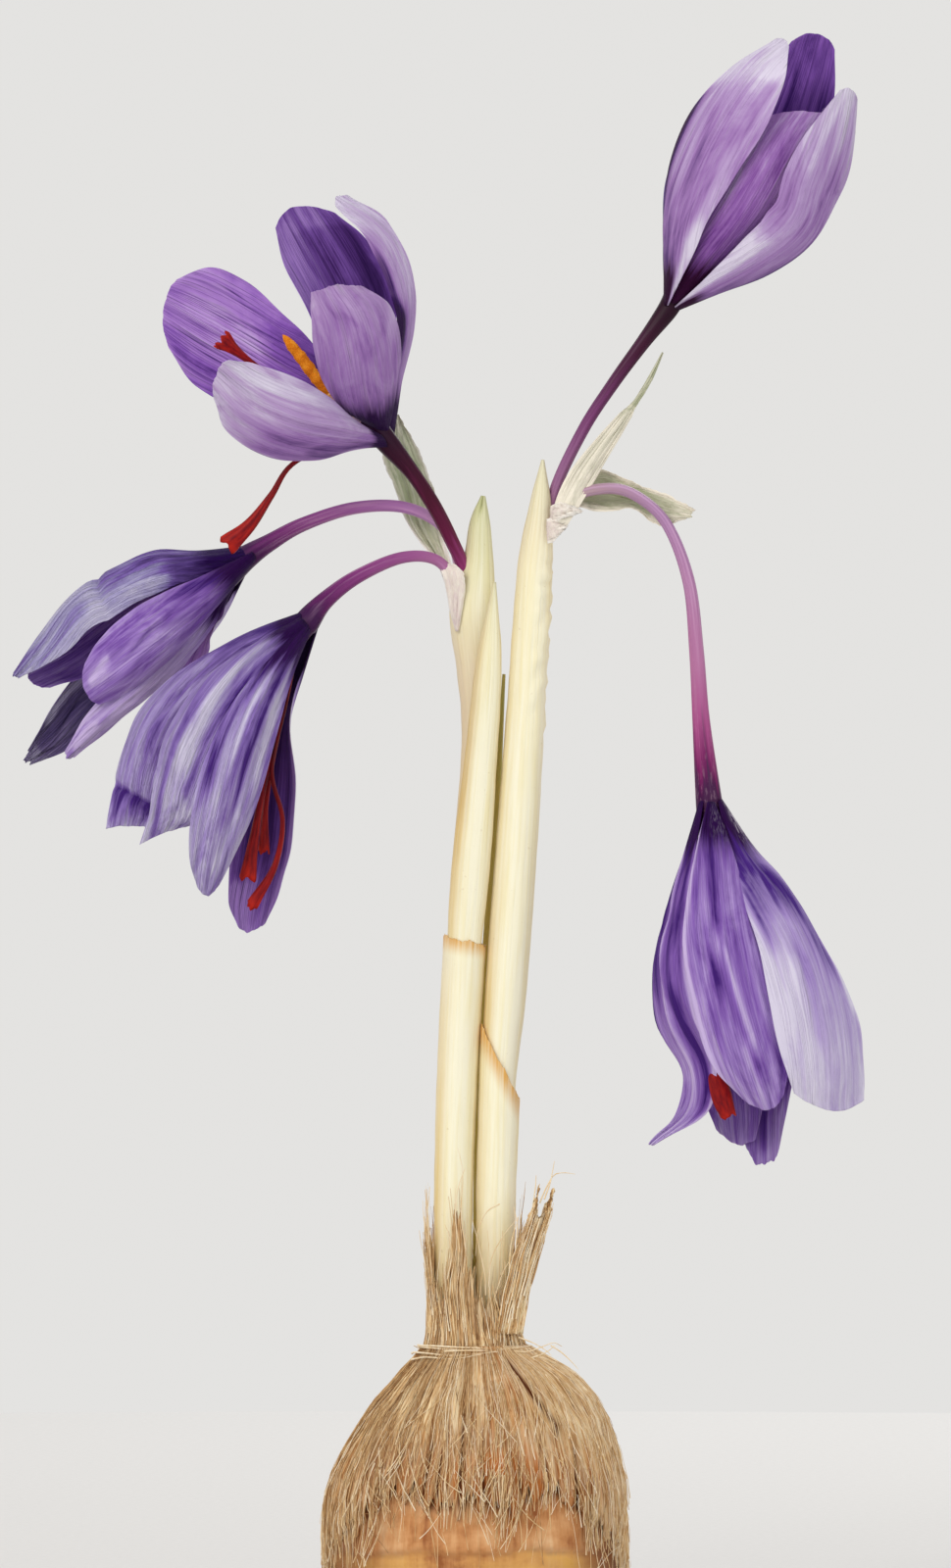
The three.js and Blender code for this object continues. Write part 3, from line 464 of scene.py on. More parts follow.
# Sheath leaf: a waxy, satin, cream-coloured skin with ribs 0.4 mm apart, yellower in its folds and along its
# sides, partly its own colour and partly painted shade, green at its tips, pinkish where a flower shows
# through, and brown where its top has torn and dried.
SHEATH_SKIN = Finish(
    "sheath_leaf_waxy_cream", ((0.15, "f7f3d9"), (0.55, "f2e9bf"), (1.0, "e8da9a")),
    (Noise((7.5, 7.5, 3.0), 2.0, 0.6), Noise((1.6, 1.6, 1.5), 2.0, 0.6), Noise((3.0, 3.0, 50.0), 2.0, 0.6)),
    ((1, 0.0, 0.5), (0, -0.12, 0.22)), (0.42, 0.55), 0.1, (1.0, 0.8),
    # painted shade: a darker yellow wherever the shade mark is set
    tints=(Tint("d8b25c", 0, (0.25, 0.75), (0.75, 1.1), "shade"),
           Tint("b6bb84", 0, (0.25, 0.75), (0.55, 1.35), "green"),
           Tint("e0cdb6", 0, (0.25, 0.75), (0.6, 1.35), "blush"),
           Tint("dca652", 0, (0.25, 0.75), (0.5, 1.35), "torn"),
           Tint("b89a62", 2, (0.7, 0.76), (0.0, 0.25))),
    specular=0.45, coat=0.12, coat_rough=0.4, sheen=0.05)
# Corm: firm starchy flesh under a thin golden-brown skin with threads 1 mm apart, ringed at each old coat.
CORM_FLESH = Finish(
    "corm_flesh_golden_skin", ((0.0, "9c5c2e"), (0.3, "c68a54"), (0.6, "daa470"), (0.95, "ecc698")),
    (Noise((130.0, 130.0, 190.0), 4.0, 0.62, on_body=True), Noise((19.0, 19.0, 6.0), 4.0, 0.62)),
    ((0, 0.0, 0.75), (1, -0.2, 0.25)), (0.72, 0.5), 0.3, (1.0, 0.5),
    tints=(Tint("dca652", 0, share=(-0.2, 1.3), mark="gold"),
           Tint("8a5a34", 1, share=(0.0, 1.3), mark="ring"),
           # painted shade: darkens the corm under the coat's torn edge and down its sides
           Tint("74401c", 0, share=(1.0, 1.3), mark="shade")),
    specular=0.35, coat=0.08, coat_rough=0.5)
# Studio floor: matt painted board.
FLOOR_BOARD = Finish(
    "studio_floor_matt_board", ((0.3, "d8d7d6"), (0.7, "dcdbda")), (Noise((900.0,) * 3, 2.0, on_body=True),),
    ((0, 0.3, 0.7),), (0.92, 0.98), 0.01, specular=0.1)


# ---------- Lines and surfaces ----------


def spline(points: Line, at: Array) -> Array:
    """Reads a smooth line through points, the same as the CAD's.

    Args:
        points: the points that it passes.
        at: places on it, 0..1.

    Returns:
        One row for each place.
    """
    knots = np.asarray(points, dtype=float)
    last = len(knots) - 1
    knots = np.vstack([2 * knots[0] - knots[1], knots, 2 * knots[-1] - knots[-2]])
    place = np.clip(np.asarray(at, dtype=float), 0.0, 1.0) * last
    step = np.minimum(place.astype(int), last - 1)
    w = (place - step)[..., None]
    before, start, end, after = (knots[step + i] for i in range(4))
    first, second = (end - before) / 2, (after - start) / 2
    return (start + first * w + (3 * (end - start) - 2 * first - second) * w**2
            + (2 * (start - end) + first + second) * w**3)


def run(values: Sequence[float], at: Array) -> Array:
    """Smooth run of values at even steps, read at 0..1."""
    return spline([(value,) for value in values], at)[..., 0]


def table(pairs: Pairs, at: Array) -> Array:
    """Value read between (place, value) pairs."""
    return np.interp(at, [p[0] for p in pairs], [p[1] for p in pairs])


def unit(vectors: Array) -> Array:
    """Vectors at length 1."""
    return vectors / np.maximum(np.linalg.norm(vectors, axis=-1, keepdims=True), 1e-9)


def ease(value: Array, low: float | Array, high: float | Array) -> Array:
    """Smooth step from 0 at low to 1 at high."""
    t = np.clip((value - low) / (high - low), 0.0, 1.0)
    return t * t * (3 - 2 * t)


def bell(value: Array, middle: float | Array, width: float | Array) -> Array:
    """Soft hump of height 1 at middle."""
    return np.exp(-(((value - middle) / width) ** 2))


def rings(steps: Array, sides: int) -> tuple[Array, Array]:
    """Grid of steps along a rod and turns round it, which starts at the front.

    Args:
        steps: places along it.
        sides: points round it.

    Returns:
        The step and the turn at each point, in rows of rings.
    """
    turns = np.linspace(0, TURN, sides, endpoint=False) - math.pi / 2
    along, turn = np.meshgrid(steps, turns, indexing="ij")
    return along, turn


def girdle(turn: Array, along: Array, number: float = 0.0) -> Array:
    """Mark place of a rod: cosine and sine of the turn, and the way along. number sets rods apart."""
    return np.stack([np.cos(turn) + number * 3, np.sin(turn), along], axis=-1)


def around(radius: Array | float, turn: Array, height: Array) -> Array:
    """Points at a radius and a turn about the plant's axis."""
    return np.stack([radius * np.cos(turn), radius * np.sin(turn), height], axis=-1)


def sweep(stations: Line, slant: float = 0.0) -> Callable[..., Array]:
    """Tube along stations of (x, y, z, half width[, half depth]).

    Args:
        stations: the stations.
        slant: lean of its end, as in the CAD.

    Returns:
        A function place(along, turn, swell) that gives points on the tube's surface, swollen by swell mm.
    """
    path = [s[:3] for s in stations]
    wide = [s[3] for s in stations]
    deep = [s[4] if len(s) > 4 else s[3] for s in stations]

    def place(along: Array, turn: Array, swell: Array | float = 0.0) -> Array:
        """Places points on the tube's surface.

        Args:
            along: ways along it, 0..1.
            turn: turns round it.
            swell: how far it is swollen, mm.

        Returns:
            The points, mm.
        """
        t = np.asarray(along, dtype=float)
        ahead = unit(spline(path, np.minimum(t + 0.02, 1)) - spline(path, np.maximum(t - 0.02, 0)))
        across = unit(np.cross(np.broadcast_to([0.0, 1.0, 0.0], ahead.shape), ahead))
        depth = np.cross(ahead, across)
        x, y = np.cos(turn)[..., None], np.sin(turn)[..., None]
        grow = np.broadcast_to(swell, t.shape)[..., None]
        half_width = np.maximum(run(wide, t)[..., None] + grow, 0.02)
        half_depth = np.maximum(run(deep, t)[..., None] + grow, 0.02)
        middle = spline(path, t) + ahead * (slant * t[..., None] * x)
        return middle + across * x * half_width + depth * y * half_depth

    return place


# ---------- Mesh building ----------


def show(name: str, data: bpy.types.ID) -> Object:
    """Links an object to the scene.

    Args:
        name: the object's name.
        data: its mesh, camera or light.

    Returns:
        The object.
    """
    made = bpy.data.objects.new(name, data)
    bpy.context.scene.collection.objects.link(made)
    return made


class Shape:
    """Mesh under construction: points in millimetres that carry place and marks, and the faces over them."""

    def __init__(self, *marks: str) -> None:
        """Starts an empty shape. marks names the values that each point carries."""
        self.names = marks
        self.rows: list[Array] = []
        self.faces: list[list[int]] = []
        self.dress: list[int] = []
        self.count = 0

    def lay(self, points: Array, place: Array, **marks: Array | float) -> Array:
        """Adds a grid of points.

        Args:
            points: their places in millimetres.
            place: their mark place.
            marks: their other marks.

        Returns:
            Their numbers, in the same grid.
        """
        shape = points.shape[:-1]
        columns = [np.broadcast_to(marks.get(name, 0.0), shape)[..., None] for name in self.names]
        rows = np.concatenate([points, place, *columns], axis=-1)
        numbers = self.count + np.arange(rows[..., 0].size).reshape(shape)
        self.rows.append(rows.reshape(-1, rows.shape[-1]))
        self.count += numbers.size
        return numbers

    def skin(self, numbers: Array, dress: int = 0, flip: bool = False) -> None:
        """Lays faces over a grid of points.

        Args:
            numbers: the points' numbers.
            dress: number of the faces' material.
            flip: whether they are turned over.
        """
        corners = [numbers[:-1, :-1], numbers[:-1, 1:], numbers[1:, 1:], numbers[1:, :-1]]
        faces = np.stack(corners[::-1] if flip else corners, axis=-1).reshape(-1, 4)
        self.faces += faces.tolist()
        self.dress += [dress] * len(faces)

    def close(self, ring: Array, dress: int = 0, flip: bool = False) -> None:
        """Closes a ring of points with a fan about its middle.

        Args:
            ring: the points' numbers.
            dress: number of the faces' material.
            flip: whether they are turned over.
        """
        middle = np.vstack(self.rows)[ring].mean(axis=0)
        self.rows.append(middle[None, :])
        for a, b in zip(ring, np.roll(ring, -1)):
            face = [int(a), int(b), self.count]
            self.faces.append(face[::-1] if flip else face)
            self.dress.append(dress)
        self.count += 1

    def rod(self, points: Array, place: Array, **marks: Array | float) -> None:
        """Adds a closed rod over rings of points, with both its ends closed.

        Args:
            points: the rings, mm.
            place: their mark place.
            marks: their other marks.
        """
        numbers = self.lay(points, place, **marks)
        self.skin(np.hstack([numbers, numbers[:, :1]]))
        self.close(numbers[0], flip=True)
        self.close(numbers[-1])

    def shell(self, walls: Sequence[Array], place: Array, **marks: Array | float) -> None:
        """Adds a closed ring-shaped wall between an outer and an inner grid of rings.

        Args:
            walls: rings of the outer wall and of the inner one, mm.
            place: mark place of both.
            marks: their other marks.
        """
        grids = [self.lay(points, place, **marks) for points in walls]
        grids = [np.hstack([numbers, numbers[:, :1]]) for numbers in grids]
        self.skin(grids[0])
        self.skin(grids[1], flip=True)
        for row in (0, -1):
            self.skin(np.stack([grids[0][row], grids[1][row]]), flip=row == 0)

    def mesh(self, name: str, *materials: Material) -> Object:
        """Makes the object, in metres, with its faces outwards.

        Args:
            name: the object's name.
            materials: its materials, by number.

        Returns:
            The object, linked to the scene.
        """
        rows = np.vstack(self.rows)
        data = bpy.data.meshes.new(name)
        data.from_pydata((rows[:, :3] * MM).tolist(), [], self.faces)
        data.polygons.foreach_set("material_index", self.dress)
        data.polygons.foreach_set("use_smooth", [True] * len(self.faces))
        place = data.attributes.new("place", "FLOAT_VECTOR", "POINT")
        place.data.foreach_set("vector", rows[:, 3:6].astype(np.float32).ravel())
        for i, mark in enumerate(self.names):
            values = rows[:, 6 + i].astype(np.float32)
            data.attributes.new(mark, "FLOAT", "POINT").data.foreach_set("value", values)
        for material in materials:
            data.materials.append(material)
        edit = bmesh.new()
        edit.from_mesh(data)
        bmesh.ops.recalc_face_normals(edit, faces=edit.faces)
        edit.to_mesh(data)
        edit.free()
        data.update()
        return show(name, data)


def keep(piece: Object, slot: Slot, *nodes: str) -> None:
    """Rides a piece on the plant, says which CAD nodes it stands for, and reports it.

    Args:
        piece: the finished piece.
        slot: the record's material slot; not used.
        nodes: CAD nodes that it replaces.
    """
    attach(piece, "root")
    if nodes:
        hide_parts(*nodes)
    stood_for = ", ".join(nodes) or "no node"
    LOG.info("%s: %d faces, stands for %s", piece.name, len(piece.data.polygons), stood_for)


# ---------- Strands and grains by geometry nodes ----------


class GeometryTree:
    """Geometry Nodes tree with named inputs, which is used up into a plain mesh."""

    def __init__(self, name: str, **sizes: str) -> None:
        """Starts the tree with inputs for the geometry, its sizes and the finish.

        Args:
            name: the tree's name.
            sizes: kind of the input for each size, by name.
        """
        self.tree = bpy.data.node_groups.new(name, "GeometryNodeTree")
        self.add = partial(add_node, self.tree)
        panel = self.tree.interface
        panel.new_socket("Geometry", in_out="INPUT", socket_type="NodeSocketGeometry")
        panel.new_socket("Geometry", in_out="OUTPUT", socket_type="NodeSocketGeometry")
        self.sockets = {size: panel.new_socket(size, in_out="INPUT", socket_type="NodeSocket" + kind)
                        for size, kind in {**sizes, "Finish": "Material"}.items()}
        self.inputs = self.add("NodeGroupInput").node.outputs

    def end(self, geometry: NodeSocket) -> None:
        """Ends the tree in Realize Instances and Set Material.

        Args:
            geometry: what the tree has made.
        """
        real = self.add("GeometryNodeRealizeInstances", {"Geometry": geometry})
        dressed = self.add("GeometryNodeSetMaterial", {"Geometry": real, "Material": self.inputs["Finish"]})
        self.add("NodeGroupOutput", {0: dressed})

    def grow(self, name: str, base: Mesh, **values: float | Material) -> Object:
        """Runs the tree over a base mesh.

        Args:
            name: name of the object that is made.
            base: mesh that the tree starts from.
            values: input values, by name.

        Returns:
            An object with the result as a plain mesh.
        """
        carrier = show(name + "_carrier", base)
        modifier = carrier.modifiers.new("grow", "NODES")
        modifier.node_group = self.tree
        for key, value in values.items():
            modifier[self.sockets[key].identifier] = value
        done = carrier.evaluated_get(bpy.context.evaluated_depsgraph_get())
        data = bpy.data.meshes.new_from_object(done)
        data.name = name
        carrier.modifiers.remove(modifier)
        bpy.data.objects.remove(carrier)
        return show(name, data)


class StrandTree(GeometryTree):
    """Turns guide lines into round fibres that wander a little, each with its own girth."""

    def __init__(self) -> None:
        """Builds the tree: wander, line to curve, round section."""
        super().__init__("strands", Sides="Int", Wander="Float", Wave="Float", Seed="Float")
        add, inputs = self.add, self.inputs
        noise = add("ShaderNodeTexNoise", {"W": inputs["Seed"], "Scale": inputs["Wave"], "Detail": 1.0},
                    out="Color", noise_dimensions="4D")
        middle = add("ShaderNodeVectorMath", {0: noise, 1: (0.5, 0.5, 0.5)}, operation="SUBTRACT")
        offset = add("ShaderNodeVectorMath", {0: middle, "Scale": inputs["Wander"]}, operation="SCALE")
        moved = add("GeometryNodeSetPosition", {"Geometry": inputs["Geometry"], "Offset": offset})
        line = add("GeometryNodeMeshToCurve", {"Mesh": moved})
        girth = add("GeometryNodeInputNamedAttribute", {"Name": "girth"}, data_type="FLOAT")
        section = add("GeometryNodeCurvePrimitiveCircle", {"Resolution": inputs["Sides"], "Radius": 1.0})
        tube = add("GeometryNodeCurveToMesh", {
            "Curve": line, "Profile Curve": section, "Scale": girth, "Fill Caps": True})
        self.end(add("GeometryNodeSetShadeSmooth", {"Geometry": tube}))


class GrainTree(GeometryTree):
    """Scatters grains over a surface and keeps the surface under them."""

    def __init__(self) -> None:
        """Builds the tree: scatter, a grain at each point in its own size, and the body."""
        super().__init__("grains", Radius="Float", Density="Float", Seed="Int")
        add, inputs = self.add, self.inputs
        spots = add("GeometryNodeDistributePointsOnFaces", {
            "Mesh": inputs["Geometry"], "Density": inputs["Density"], "Seed": inputs["Seed"]})
        grain = add("GeometryNodeMeshIcoSphere", {"Radius": inputs["Radius"], "Subdivisions": 1})
        spread = {2: 0.6, 3: 1.3, "Seed": inputs["Seed"]}
        size = add("FunctionNodeRandomValue", spread, out=1, data_type="FLOAT")
        grains = add("GeometryNodeInstanceOnPoints", {"Points": spots, "Instance": grain, "Scale": size})
        both = add("GeometryNodeJoinGeometry", {"Geometry": grains})
        self.tree.links.new(inputs["Geometry"], both.node.inputs["Geometry"])
        self.end(both)




# ---------- Thin blades: tepals, bracts and the torn flap ----------


@dataclass(frozen=True)
class Streak:
    """Lengthwise stroke of pigment between two places. Its tone is up for pale and down for dark."""

    start: float
    foot: float
    end: float
    tip: float
    width: float
    tone: float

    def paint(self, u: Array, v: Array) -> Array:
        """Paints the stroke.

        Args:
            u: places across, 0..1.
            v: places along, 0..1.

        Returns:
            Tone that it adds at each place.
        """
        t = (v - self.foot) / (self.tip - self.foot)
        middle = self.start + (self.end - self.start) * np.clip(t, 0, 1)
        return self.tone * bell(u, middle, self.width) * ease(t, -0.12, 0.1) * (1 - ease(t, 0.85, 1.15))


@dataclass(frozen=True)
class Fold:
    """Ridge, or furrow where rise is negative, at a place on a blade. Half sizes are shares of the blade."""

    across: float
    along: float
    width: float
    length: float
    rise: float

    def lift(self, u: Array, v: Array) -> Array:
        """Millimetres that the fold lifts the blade outwards."""
        return self.rise * bell(u, self.across, self.width) * bell(v, self.along, self.length)


@dataclass(frozen=True)
class Blade:
    """Thin blade between two edge lines, from its foot to the corners of its end. Sizes are in mm."""

    first: Line
    second: Line
    bulge: Sequence[float] = (0.2, 1.4, 2.4, 2.2, 1.2, 0.0)
    folds: Sequence[Fold] = ()
    cap: float = 0.4  # how far its end bows out past its corners
    ragged: float = 0.06  # unevenness of its end
    thickness: float = 0.26
    ruffle: float = 0.2
    fray: float = 0.0
    ribs: float = 0.025
    crumple: float = 0.0  # height of the creases that wilting leaves
    creases: int = 30
    columns: int = 42
    rows: int = 54

    def lift(self, share: Array, vv: Array, draw: np.random.Generator) -> Array:
        """Relief of the blade: its folds, uneven ribs, waving margins and wilted creases.

        Args:
            share: places across it, 0..1.
            vv: places along it, 0..1.
            draw: source of its small unevenness.

        Returns:
            Millimetres outwards at each place.
        """
        phase, body, edge = draw.uniform(0, TURN, 12), ease(vv, 0.03, 0.3), np.abs(2 * share - 1)
        rise = sum((fold.lift(share, vv) for fold in self.folds), np.zeros_like(share))
        for k, waves in enumerate((2.7, 4.9, 7.3, 11.7, 17.9)):
            sway = 1.4 * np.sin(3.1 * vv + phase[k + 1])
            rise = rise + self.ribs * np.cos(waves * TURN * share + phase[k] + sway) * body * (1 - edge**6)
        wave = np.sin(2.3 * TURN * vv + phase[7]) + 0.6 * np.sin(5.1 * TURN * vv + phase[8])
        rise = rise + self.ruffle * wave * edge**4 * body * np.where(share > 0.5, 1.0, np.cos(phase[9]))
        rise = rise + self.ruffle * 0.5 * np.sin(1.5 * TURN * share + phase[10] + 4 * vv) * body
        for _ in range(self.creases if self.crumple else 0):
            across, along, lean, height = draw.uniform((0.05, 0.15, -1.2, -1.0), (0.95, 0.97, 1.2, 1.0))
            width, length = draw.uniform((0.035, 0.04), (0.1, 0.13))
            crease = bell(share - across + lean * (vv - along), 0.0, width) * bell(vv, along, length)
            rise = rise + self.crumple * height * crease * (1 - edge**8)
        return rise

    def surface(self, u: Array, v: Array, outside: Array, seed: int) -> tuple[Array, Array]:
        """Middle surface of the blade.

        Args:
            u: places across it, -1..1.
            v: places along it, 0..1.
            outside: direction that its middle bellies out to.
            seed: seed of its small unevenness.

        Returns:
            Points and outward normals, rows by columns.
        """
        left, right = spline(self.first, v), spline(self.second, v)
        before, after = np.maximum(v - 0.02, 0), np.minimum(v + 0.02, 1)
        ahead = unit(spline(self.first, after) + spline(self.second, after)
                     - spline(self.first, before) - spline(self.second, before))
        away = unit(np.cross(right - left, ahead))
        away = away * (np.sign(away[len(v) // 2] @ outside) or 1.0)
        draw = np.random.default_rng(seed)
        uu, vv = np.meshgrid(u, v)
        lift = self.lift((uu + 1) / 2, vv, draw)
        phase = draw.uniform(0, TURN, 4)
        tear = np.sin(61 * vv + phase[0]) + 0.8 * np.sin(137 * vv + phase[1]) + 0.6 * np.sin(23 * vv)
        half = np.maximum(np.linalg.norm(right - left, axis=1)[:, None] / 2, 0.6)
        spread = 1 - self.fray * np.abs(uu) ** 6 * ease(vv, 0.3, 0.7) * (1 + 0.5 * tear) / half
        crown = run(self.bulge, v)[:, None]
        points = ((left + right) / 2)[:, None] + (uu * spread)[..., None] * ((right - left) / 2)[:, None]
        points = points + away[:, None] * (crown * (1 - uu**2) + lift)[..., None]
        bow = self.cap * (1 - uu**2) + self.ragged * (
            np.sin(5 * uu + phase[2]) + 0.6 * np.sin(11 * uu + phase[3]) + 0.25 * np.sin(23 * uu))
        points = points + ahead[-1] * (bow * ease(vv, 0.72, 1.0))[..., None]
        normal = unit(np.cross(np.gradient(points, axis=1), np.gradient(points, axis=0)))
        normal = normal * np.sign((normal * away[:, None]).sum(axis=-1, keepdims=True) + 1e-9)
        normal[-2:] = normal[-3]
        return points, normal

    def build(self, shape: Shape, outside: Sequence[float], seed: int,
              marks: Callable[[Array, Array, bool], dict[str, Array]]) -> None:
        """Adds the blade's closed shell to a shape, outer face in material 0 and inner face in 1.

        Args:
            shape: the shape that it joins.
            outside: direction that its middle bellies out to.
            seed: seed of its small unevenness.
            marks: gives the marks at each place, for the outer face or the inner.
        """
        u = np.sin(np.linspace(-1, 1, self.columns + 1) * 1.45) / math.sin(1.45)
        v = 1 - (1 - np.linspace(0, 1, self.rows + 1)) ** 1.35
        points, normal = self.surface(u, v, np.asarray(outside), seed)
        share, along = np.meshgrid((u + 1) / 2, v)
        width = np.linalg.norm(points[:, -1] - points[:, 0], axis=1)[:, None]
        # The veins spread from the claw, out to the margins.
        fanned = 0.5 + (share - 0.5) * (width / width.max()) ** 0.6
        place = np.stack([fanned, along, np.full_like(share, seed * 1.37)], axis=-1)
        margin, end = 1 - 0.65 * np.abs(2 * share - 1) ** 5, 1 - 0.5 * ease(along, 0.85, 1)
        thick = self.thickness / 2 * margin * end
        outer = shape.lay(points + normal * thick[..., None], place, **marks(share, along, True))
        inner = shape.lay(points - normal * thick[..., None], place, **marks(share, along, False))
        shape.skin(outer)
        shape.skin(inner, 1, flip=True)
        for cut in ((0, slice(None)), (-1, slice(None)), (slice(None), 0), (slice(None), -1)):
            shape.skin(np.stack([outer[cut], inner[cut]]))


@dataclass(frozen=True)
class Tepal:
    """One petal-like leaf of a flower, with the pigment of its two faces."""

    place: str
    blade: Blade
    outer: Tissue
    inner: Tissue
    tones: Pairs = ((0.0, 0.0), (0.7, 0.0), (1.0, 0.35))  # (way along, tone)
    rim: float = 0.2
    veining: tuple[float, float] = (0.2, 0.85)  # of the outer and the inner face
    flush: float = 0.14  # how far the throat's dark pigment reaches along it
    fleck: float = 0.0
    streaks: Line = ()  # the values of each Streak
    lobe: Blade | None = None  # part that shows beside the rest of it
    lobe_tone: float = 0.0  # how much paler that part is

    def marks(self, u: Array, v: Array, is_outer: bool, paler: float = 0.0) -> dict[str, Array]:
        """Marks of a face of the tepal.

        Args:
            u: places across it, 0..1.
            v: places along it, 0..1.
            is_outer: whether the face is the outer one.
            paler: how much paler this part is.

        Returns:
            Its tone, its veining, the throat's pigment, which pale strokes cut, and its flecks.
        """
        edge = np.abs(2 * u - 1)
        strokes = sum((Streak(*values).paint(u, v) for values in self.streaks), np.zeros_like(u))
        flush = 1 - ease(v, self.flush * 0.2, self.flush * 2.4)
        veining = self.veining[0 if is_outer else 1] * (1 - 0.5 * ease(v, 0.85, 1)) * (1 - 0.5 * edge**8)
        return {
            "tone": table(self.tones, v) + self.rim * edge**6 + strokes + paler,
            "veining": veining,
            "flush": flush - 0.8 * np.maximum(strokes - 0.2, 0) + 0.8 * np.maximum(-strokes - 0.6, 0),
            "fleck": self.fleck * bell(v, 0.07, 0.06) * ease(u, 0.3, 0.6),
        }


# ---------- Flowers ----------


@dataclass(frozen=True)
class Stigma:
    """Crimson thread that widens to a trumpet with a torn lip."""

    stations: Line
    lip: float = 0.6  # length of the lip's lobes, mm
    lobes: int = 3

    def build(self, shape: Shape, number: int) -> None:
        """Adds the closed trumpet: outside to the lip, then back down the inside.

        Args:
            shape: the shape that it joins.
            number: sets its pattern apart.
        """
        out = np.linspace(0, 1, 36) ** 0.85
        back = np.linspace(0.995, 0.8, 8)
        along, turn = rings(np.concatenate([out, back]), 26)
        wall = np.concatenate([np.zeros(len(out)), np.linspace(-0.18, -0.45, len(back))])[:, None]
        crinkle = 0.05 * np.sin(5 * turn + 9 * along) * ease(along, 0.5, 1)
        points = sweep(self.stations)(along, turn, wall + crinkle)
        aim = unit(np.subtract(self.stations[-1][:3], self.stations[-2][:3]))
        lobe = np.abs(np.sin(self.lobes * turn / 2)) ** 1.5 + 0.2 * np.sin(7 * turn + 1.3)
        points = points + aim * (self.lip * (lobe - 0.5) * ease(along, 0.86, 1.0))[..., None]
        tone = 0.15 + 0.45 * ease(along, 0.1, 0.8) + 0.35 * ease(along, 0.93, 1.0)
        shape.rod(points, girdle(turn, along, number), tone=tone)


def fan(root: Point, tip: Point, spread: float, radii: Sequence[float], turn: float = 0.0) -> list[Line]:
    """Three rods that leave one root and spread evenly about the way to the tip, as in the CAD.

    Args:
        root: where they start.
        tip: middle of where they end.
        spread: how far each ends from the tip.
        radii: radius at even steps.
        turn: angle of the first about the way.

    Returns:
        The stations of each rod.
    """
    start = np.array(root)
    way = np.array(tip) - start
    sideways = unit(np.cross(way, (0.0, 1.0, 0.0)))
    other = np.cross(unit(way), sideways)
    rods = []
    for k in range(3):
        angle = turn + k * TURN / 3
        out = sideways * math.cos(angle) + other * math.sin(angle)
        steps = np.linspace(0, 1, len(radii))
        rods.append([(*(start + way * t + out * spread * t), r) for t, r in zip(steps, radii)])
    return rods


STIGMA_RADII = (0.4, 0.35, 0.4, 0.6, 1.1)  # mm
STAMEN_RADII = (0.35, 0.35, 0.75, 0.8, 0.4)
ANTHER_FOOT = 0.36  # way along a stamen where its anther starts
FILAMENT_TIP = 0.45  # and where its filament ends, inside the anther
GRAIN_RADIUS = 0.085  # mm
GRAIN_DENSITY = 5.0e6  # pollen grains a square metre of anther


